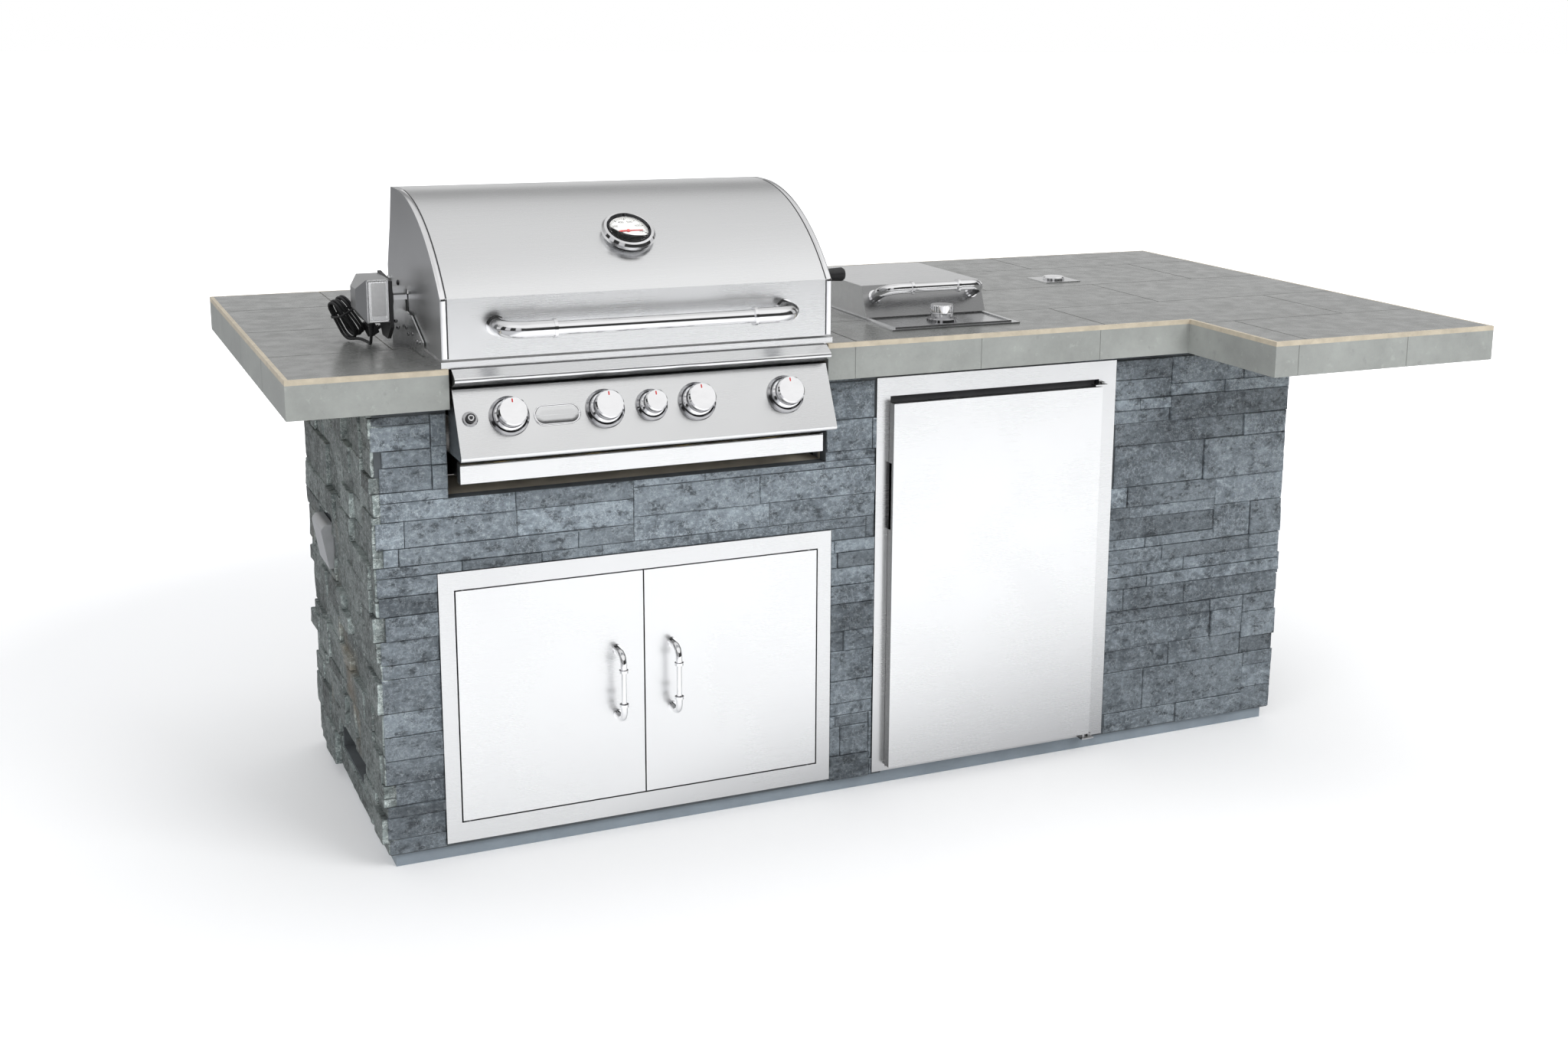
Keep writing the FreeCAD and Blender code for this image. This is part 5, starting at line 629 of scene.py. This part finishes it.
def ledger(name, bench, length, holes, material, seed, near, far, deep=1.0, longest=380.0, ends_highlight=1.1,
           shade_to_floor=0.40, lintel=None):
    """A wall of strips.

    near and far are how far the strips may pass its two upright edges, deep scales how far they stand out,
    and longest is the longest strip. ends_highlight is the painted highlight tone of their broken ends, and
    fading how much painted shade darkens the wall toward the floor. The lintel is one more strip, as (left,
    right, low, high).
    """
    chance = random.Random(seed)
    parts, tones_and_painted_light = [], []
    for left, right, bottom, top in panel_strips(chance, length, STONE_LOW, STONE_HIGH, longest):
        if right <= 0 or left >= length:
            continue
        if left <= 12:
            if chance.random() < 0.65:
                left = -near * chance.uniform(0.3, 1.0)
            else:
                left = chance.uniform(4, 20)
        if right >= length - 12:
            right = length + far * chance.uniform(-0.2, 1.0)
        rest = [(left, right, bottom, top)]
        for hole in holes:
            rest = [part for whole in rest for part in cut_away(whole, hole)]
        proud = chance.choice((1.8, 3.0, 4.2, 5.6, 7.4)) * deep
        shade = chance.choice((0.72, 0.86, 1.0, 1.0, 1.12, 1.26)) * chance.uniform(0.94, 1.06)
        for part in rest:
            if part[1] - part[0] < 8 or part[3] - part[2] < 5:
                continue
            edge = part[0] <= 0 or part[1] >= length
            foot = 20.0 if edge else 1.0
            points, faces, shares = strip_mesh(bench, chance, part, proud, foot, 1.0, ends_highlight)
            parts.append((points, faces))
            # Painted shade: darker toward the floor.
            shade_to_floor_share = 1.06 - shade_to_floor * (1 - min(1.0, part[3] / 850) ** 1.3)
            tones_and_painted_light += [shade * shade_to_floor_share * share for share in shares]
    if lintel:
        points, faces, shares = strip_mesh(bench, chance, lintel, 0.6, 1.0, 0.3, ends_highlight)
        parts.append((points, faces))
        tones_and_painted_light += shares
    item = piece(name, *merged(parts), material, "island")
    layer = item.data.attributes.new("tone", "FLOAT", "POINT")
    layer.data.foreach_set("value", tones_and_painted_light)
    return item


def add_ledgers():
    """The four stone walls."""
    front = Bench((STONE_LEFT, STONE_FRONT, 0), (1, 0, 0), (0, -1, 0))
    left = Bench((STONE_LEFT, STONE_BACK, 0), (0, -1, 0), (-1, 0, 0))
    right = Bench((STONE_RIGHT, STONE_FRONT, 0), (0, 1, 0), (1, 0, 0))
    back = Bench((STONE_RIGHT, STONE_BACK, 0), (-1, 0, 0), (0, 1, 0))
    ledger("ledger_front", front, LENGTH, [CUPBOARD, COOLER, RECESS], STONE, 11, near=6, far=4)
    ledger("ledger_left", left, DEPTH, [SOCKET, VENT_HOLE], STONE_END, 5, near=8, far=3, deep=2.2,
           longest=210.0, ends_highlight=2.5, shade_to_floor=0.0, lintel=OVER_SOCKET)
    ledger("ledger_right", right, DEPTH, [], STONE, 23, near=4, far=6)
    ledger("ledger_back", back, LENGTH, [], STONE, 31, near=4, far=6)


add_ledgers()


# The control panel's bench starts at its upper edge, in the middle.
LEAN = math.radians(26.5)
PANEL = Bench((700, 2, 984), (1, 0, 0), (0, -math.cos(LEAN), math.sin(LEAN)))
KNOB_ROW = -60
KNOB_TOP = 41.0
KNOBS = {"knob_1": (-288, 26.5), "knob_2": (-96, 26.5), "rear_knob": (0, 20), "knob_3": (96, 26.5),
         "knob_4": (288, 26.5)}


def add_panel_pieces():
    """The bare raised plate, a pointer line on each knob, and the ring of the igniter."""
    rings = [(0, 0), (0, 1.6), (1, 2.2), (3.2, 2.2), (4.0, 1.3)]
    points, faces = rounded(PANEL, (-193, -64), 47, 21, 21, rings, cap=False)
    piece("panel_plate", points, faces, CHROME, "island", smooth=True)
    rings = [(0, 1.2), (0.6, 1.5), (9, 1.6)]
    points, faces = rounded(PANEL, (-193, -64), 43.5, 17.5, 17.5, rings)
    piece("panel_plate_field", points, faces, STEEL_TRIM, "island", smooth=True)
    rings = [(0, KNOB_TOP - 0.6), (0, KNOB_TOP - 0.1), (0.3, KNOB_TOP)]
    for body, (aside, radius) in KNOBS.items():
        points, faces = rounded(PANEL, (aside, KNOB_ROW + radius - 6), 1.3, 3.8, 1.0, rings)
        piece(body + "_mark", points, faces, RED, body)
    rings = [(0, 10.9), (0, 11.7), (0.6, 12.1), (2.0, 12.1), (2.4, 11.7), (2.6, 10.9)]
    points, faces = rounded(PANEL, (-364, KNOB_ROW), 6, 6, 6, rings, cap=False)
    piece("igniter_ring", points, faces, CHROME, "igniter", smooth=True)


add_panel_pieces()


# The hood's roll: its depth and rise give the radius, and its axis lies below the highest line.
HOOD_TOP = 1334
ROLL_DEPTH, ROLL_RISE = 370, 176
ROLL_END = 380
ROLL = (ROLL_DEPTH ** 2 + ROLL_RISE ** 2) / (2 * ROLL_RISE)
ROLL_AXIS = HOOD_TOP - ROLL
GAUGE_FRONT = 111.75
SLOPE = math.asin((ROLL_END - GAUGE_FRONT) / ROLL)
GAUGE = Bench((700, GAUGE_FRONT, ROLL_AXIS + ROLL * math.cos(SLOPE)), (1, 0, 0),
              (0, -math.sin(SLOPE), math.cos(SLOPE)))


def ribbon(path, stations):
    """A band along a path of ((outward y, z), (y, z)), from stations of (x, lift) across it."""
    points = [at(x, spot[0] + out[0] * lift, spot[1] + out[1] * lift)
              for out, spot in path for x, lift in stations]
    wide = len(stations)
    faces = [(r * wide + c, r * wide + c + 1, (r + 1) * wide + c + 1, (r + 1) * wide + c)
             for r in range(len(path) - 1) for c in range(wide - 1)]
    return points, faces


def add_hood_bands():
    """The polished bands that fold over the hood's two ends, each with a dark strip of painted shade along
    its inner edge, and the right one along its outer edge too.
    """
    path = [((-1, 0), (10, z)) for z in (1043, 1080, 1120, 1146, 1154, 1157)]
    for step in range(30):
        y = 12 + 342 * step / 29
        out = ((y - ROLL_END) / ROLL, math.sqrt(ROLL ** 2 - (ROLL_END - y) ** 2) / ROLL)
        path.append((out, (y, ROLL_AXIS + out[1] * ROLL)))
    band = [(294.2, -0.1), (295.0, 0.5), (299.5, 0.7), (304.0, 0.5), (304.8, -0.1)]
    # Painted shade: dark strips along both bands' inner edges, and along the right band's outer edge.
    seam_shade = [(304.9, -0.1), (305.2, 0.3), (307.2, 0.3), (307.5, -0.1)]
    lip_shade = [(293.9, -1.0), (294.2, 0.2), (295.0, 0.55)]

    def other(stations):
        """The same at the hood's right end, mirrored about x = 700."""
        return [(1400 - x, lift) for x, lift in reversed(stations)]

    points, faces = merged([ribbon(path, band), ribbon(path, other(band))])
    piece("hood_bands", points, faces, CHROME, "hood", smooth=True)
    points, faces = merged([ribbon(path, stations) for stations in (seam_shade, other(seam_shade), other(lip_shade))])
    piece("hood_seam_shade", points, faces, DARK_SHADE_AND_METAL, "hood", smooth=True)


add_hood_bands()


def add_fasteners():
    """The screw in the hood's end, and the rivets of the motor's bracket."""
    end = Bench((294, 0, 0), (0, -1, 0), (-1, 0, 0))
    cheek = Bench((289, 0, 0), (0, -1, 0), (-1, 0, 0))
    web = Bench((0, 309, 0), (1, 0, 0), (0, -1, 0))
    on_cheek = [(-298, 1060), (-279, 1050), (-240, 1056), (-199, 1047), (-173, 1049)]
    on_web = [(270.5, 1073), (274.5, 1059)]
    screws("hood_end_screw", end, [(-386, 1140)], 6.0, DARK_SHADE_AND_METAL, "hood")
    screws("bracket_rivets", cheek, on_cheek, 4.0, CHROME_DARKENED, "island")
    screws("web_rivets", web, on_web, 4.0, CHROME_DARKENED, "island")


def add_motor_front():
    """The raised rim of the motor's front, and its bare label."""
    motor = Bench((221, 229.6, 1127.3), (1, 0, 0), (0, -1, 0))
    rings = [(0, -0.3), (0, 0.9), (0.8, 1.3), (2.6, 1.3), (3.2, 0.4), (5, 0.3)]
    points, faces = rounded(motor, (0, 0), 21.8, 42.8, 5, rings)
    piece("motor_front", points, faces, STEEL_UP, "island", smooth=True)
    foil = plain("label_foil", (0.66, 0.66, 0.66), 0.45, 0.08, 70.0, 0.1, 0.5)
    points, faces = rounded(motor, (2, 3), 14.5, 33, 2, [(0, 0.2), (0, 0.7), (0.5, 0.8), (1.4, 0.8)])
    piece("motor_label", points, faces, foil, "island")


add_fasteners()
add_motor_front()


# Heights over the hood, and radii, of the dial's pieces.
DIAL_LEVEL = 13.25
INK_LEVEL = 13.35
DIAL_RADIUS = 40.3


def dial_ticks():
    """Forty-one ticks over three quarters of a turn, every fifth one longer and wider."""
    parts = []
    for tick in range(41):
        angle = math.radians(225 - 270 * tick / 40)
        inner = 32.5 if tick % 5 == 0 else 34.5
        wide = 0.9 if tick % 5 == 0 else 0.4
        along = Vector((math.cos(angle), math.sin(angle)))
        side = Vector((-along.y, along.x)) * wide
        corners = [along * inner - side, along * 37 - side, along * 37 + side, along * inner + side]
        parts.append(([GAUGE(c.x, c.y, INK_LEVEL) for c in corners], [(0, 1, 2, 3)]))
    return parts


def dial_numbers():
    """Plain numbers 100 to 800, as flat meshes."""
    parts = []
    for number in range(8):
        angle = math.radians(225 - 270 * number / 7)
        text = bpy.data.curves.new("number", "FONT")
        text.body = str(100 + 100 * number)
        text.size = 8.0
        text.align_x = "CENTER"
        text.align_y = "CENTER"
        maker = bpy.data.objects.new("number", text)
        bpy.context.scene.collection.objects.link(maker)
        bpy.context.view_layer.update()
        flat = bpy.data.meshes.new_from_object(maker)
        middle = (27 * math.cos(angle), 27 * math.sin(angle))
        points = [GAUGE(v.co.x + middle[0], v.co.y + middle[1], INK_LEVEL) for v in flat.vertices]
        parts.append((points, [tuple(p.vertices) for p in flat.polygons]))
        bpy.data.objects.remove(maker)
        bpy.data.meshes.remove(flat)
    return parts


def add_dial():
    """White dial with ticks and plain numbers, a dark ring of painted shadow round it, and a clear lens."""
    face = plain("dial_white", (0.66, 0.66, 0.64), 0.4, 0.03, 60.0, 0.02)
    ink = plain("dial_ink", (0.03, 0.03, 0.03), 0.5, 0.1, 60.0, 0.02)
    rings = [(0, 13.0), (0, 13.2), (1, DIAL_LEVEL), (37.8, DIAL_LEVEL)]
    points, faces = rounded(GAUGE, (0, 0), DIAL_RADIUS, DIAL_RADIUS, DIAL_RADIUS, rings, cap=False)
    piece("dial_face", points, faces, face, "hood")
    points, faces = merged(dial_ticks() + dial_numbers())
    piece("dial_marks", points, faces, ink, "hood")
    # Painted shadow: a dark ring just inside the case, round the dial.
    rings = [(4.4, 16.5), (4.3, 18.3), (2.4, 20.0), (0.0, 21.9)]
    points, faces = rounded(GAUGE, (0, 0), 44.2, 44.2, 44.2, rings, cap=False)
    piece("dial_shadow_ring", points, faces, DARK_SHADE_AND_METAL, "hood", smooth=True)
    glass = Look("dial_glass", (1, 1, 1), Roughness=0.02, IOR=1.12)
    glass.set("Transmission Weight", 1.0)
    outline = [(0.1, 17.6), (40.2, 17.6), (40.2, 18.0), (34, 18.9), (26, 19.7), (16, 20.3), (6, 20.6),
               (0.5, 20.7)]
    points, faces = turned(GAUGE, (0, 0), outline, 40)
    clear = piece("dial_lens", points, faces, glass.material, "hood", smooth=True)
    clear.visible_shadow = False


add_dial()


def lamp(name, place, target, size, power, color=(1, 1, 1)):
    """A soft lamp that lights surfaces but isn't mirrored in them."""
    data = bpy.data.lights.new(name, "AREA")
    data.shape = "RECTANGLE"
    data.size, data.size_y = size
    data.energy = power
    data.color = color
    item = bpy.data.objects.new(name, data)
    item.location = place
    item.rotation_euler = (Vector(target) - Vector(place)).to_track_quat("-Z", "Y").to_euler()
    item.visible_glossy = False
    bpy.context.scene.collection.objects.link(item)


class Sky(Look):
    """The world's nodes, with the same short calls."""

    def __init__(self, name):
        self.world = bpy.data.worlds.new(name)
        self.world.use_nodes = True
        self.tree = self.world.node_tree
        self.shader = self.tree.nodes["Background"]
        self.place = self.add("TexCoord").outputs["Generated"]

    def ramp(self, value, stops):
        item = self.add("ValToRGB", {"Fac": value})
        elements = item.color_ramp.elements
        elements[0].position, elements[1].position = stops[0][0], stops[-1][0]
        for position, _ in stops[1:-1]:
            elements.new(position)
        for element, (position, level) in zip(elements, stops):
            element.position = position
            element.color = (level, level, level, 1)
        return item.outputs["Color"]


# Brightness that metal mirrors, against the sine of the height over the horizon.
FRONT_SKY = [(0.0, 0.04), (0.47, 0.05), (0.52, 0.85), (0.60, 1.0), (0.92, 1.0), (1.0, 0.74)]
BACK_SKY = [(0.0, 0.80), (0.22, 0.72), (0.30, 0.34), (0.46, 0.30), (0.62, 0.66), (0.90, 0.78), (1.0, 0.74)]


def front_share(look, aside=0.0):
    """1 toward the front right, which flat faces mirror, and 0 to the sides and back; then the bearing."""
    across = look.math("ADD", look.axis(0), aside)
    bearing = look.math("ARCTAN2", across, look.math("MULTIPLY", look.axis(1), -1.0))
    left_end, right_end = look.between(bearing, -0.45, -0.05), look.between(bearing, 1.40, 1.00)
    return look.math("MULTIPLY", left_end, right_end), bearing


def add_floor():
    """A pale floor. Metal mirrors it brighter in front, and darker to the sides and far away."""
    ground = Look("floor_white", (0.86, 0.86, 0.86), Roughness=0.9)
    rays = ground.add("LightPath").outputs
    away = ground.add("VectorMath", {0: ground.place}, operation="LENGTH").outputs["Value"]
    far = ground.between(away, 2.2, 5.5)
    front, _ = front_share(ground, 1.4)
    rim = ground.between(away, 13.0, 9.5)
    mirrored = ground.math("MULTIPLY", rays["Is Glossy Ray"], ground.math("SUBTRACT", 1.0, front))
    wide = ground.between(ground.noise(0.3, 2.0), 0.3, 0.7)
    shade = ground.mix(wide, (0.85, 0.85, 0.85), (0.87, 0.87, 0.87))
    shade = ground.mix(mirrored, shade, (0.50, 0.50, 0.51))
    beyond = ground.math("MULTIPLY", rays["Is Glossy Ray"], ground.math("SUBTRACT", 1.0, rim))
    ground.set("Base Color", ground.mix(beyond, shade, (0.06, 0.06, 0.06)))
    ground.set("Emission Color", (1, 1, 1))
    seen = ground.math("MULTIPLY", rays["Is Camera Ray"], ground.between(far, 0.0, 1.0, 0.14, 1.0))
    shown = ground.math("MAXIMUM", rays["Is Glossy Ray"], rays["Is Transmission Ray"])
    glow = ground.math("MULTIPLY", front, ground.between(far, 0.0, 1.0, 0.21, 0.05))
    shown = ground.math("MULTIPLY", ground.math("MULTIPLY", shown, glow), rim)
    ground.set("Emission Strength", ground.math("ADD", seen, shown))
    mesh = bpy.data.meshes.new("floor")
    mesh.from_pydata([(-60, -60, 0), (60, -60, 0), (60, 60, 0), (-60, 60, 0)], [], [(0, 1, 2, 3)])
    mesh.materials.append(ground.material)
    item = bpy.data.objects.new("floor", mesh)
    bpy.context.scene.collection.objects.link(item)


def add_sky():
    """The world: white behind the object, soft grey light, and bright and dark fields that metal mirrors."""
    sky = Sky("studio")
    bpy.context.scene.world = sky.world
    rays = sky.add("LightPath").outputs
    height = sky.axis(2)
    ahead = sky.ramp(height, FRONT_SKY)
    behind = sky.ramp(height, BACK_SKY)
    mirrored = sky.mix(sky.between(sky.axis(1), -0.25, 0.25), ahead, behind)
    low = sky.between(height, 0.60, 0.50)
    front, bearing = front_share(sky)
    side = sky.math("MULTIPLY", low, sky.math("SUBTRACT", 1.0, front))
    bands = sky.between(sky.math("SINE", sky.math("MULTIPLY", bearing, 9.0)), -0.15, 0.15)
    flags = sky.mix(bands, (0.03, 0.03, 0.03), (0.60, 0.60, 0.61))
    mirrored = sky.mix(sky.math("MULTIPLY", side, sky.between(sky.axis(1), 0.45, 0.25)), mirrored, flags)
    shown = sky.math("MAXIMUM", rays["Is Glossy Ray"], rays["Is Transmission Ray"])
    color = sky.mix(shown, (0.70, 0.71, 0.73), mirrored)
    sky.set("Color", sky.mix(rays["Is Camera Ray"], color, (1, 1, 1)))


def build_studio():
    add_floor()
    add_sky()
    lamp("key", (3.6, -6.5, 5.5), (0.0, 0.0, 0.5), (5.0, 4.0), 360)
    lamp("fill", (-6.0, -5.0, 4.5), (0.0, 0.0, 0.5), (5.0, 4.0), 120)
    lamp("top", (0.5, 2.0, 7.0), (0.0, 0.2, 1.0), (6.0, 5.0), 130)
    bpy.context.scene.view_settings.view_transform = "Standard"


build_studio()
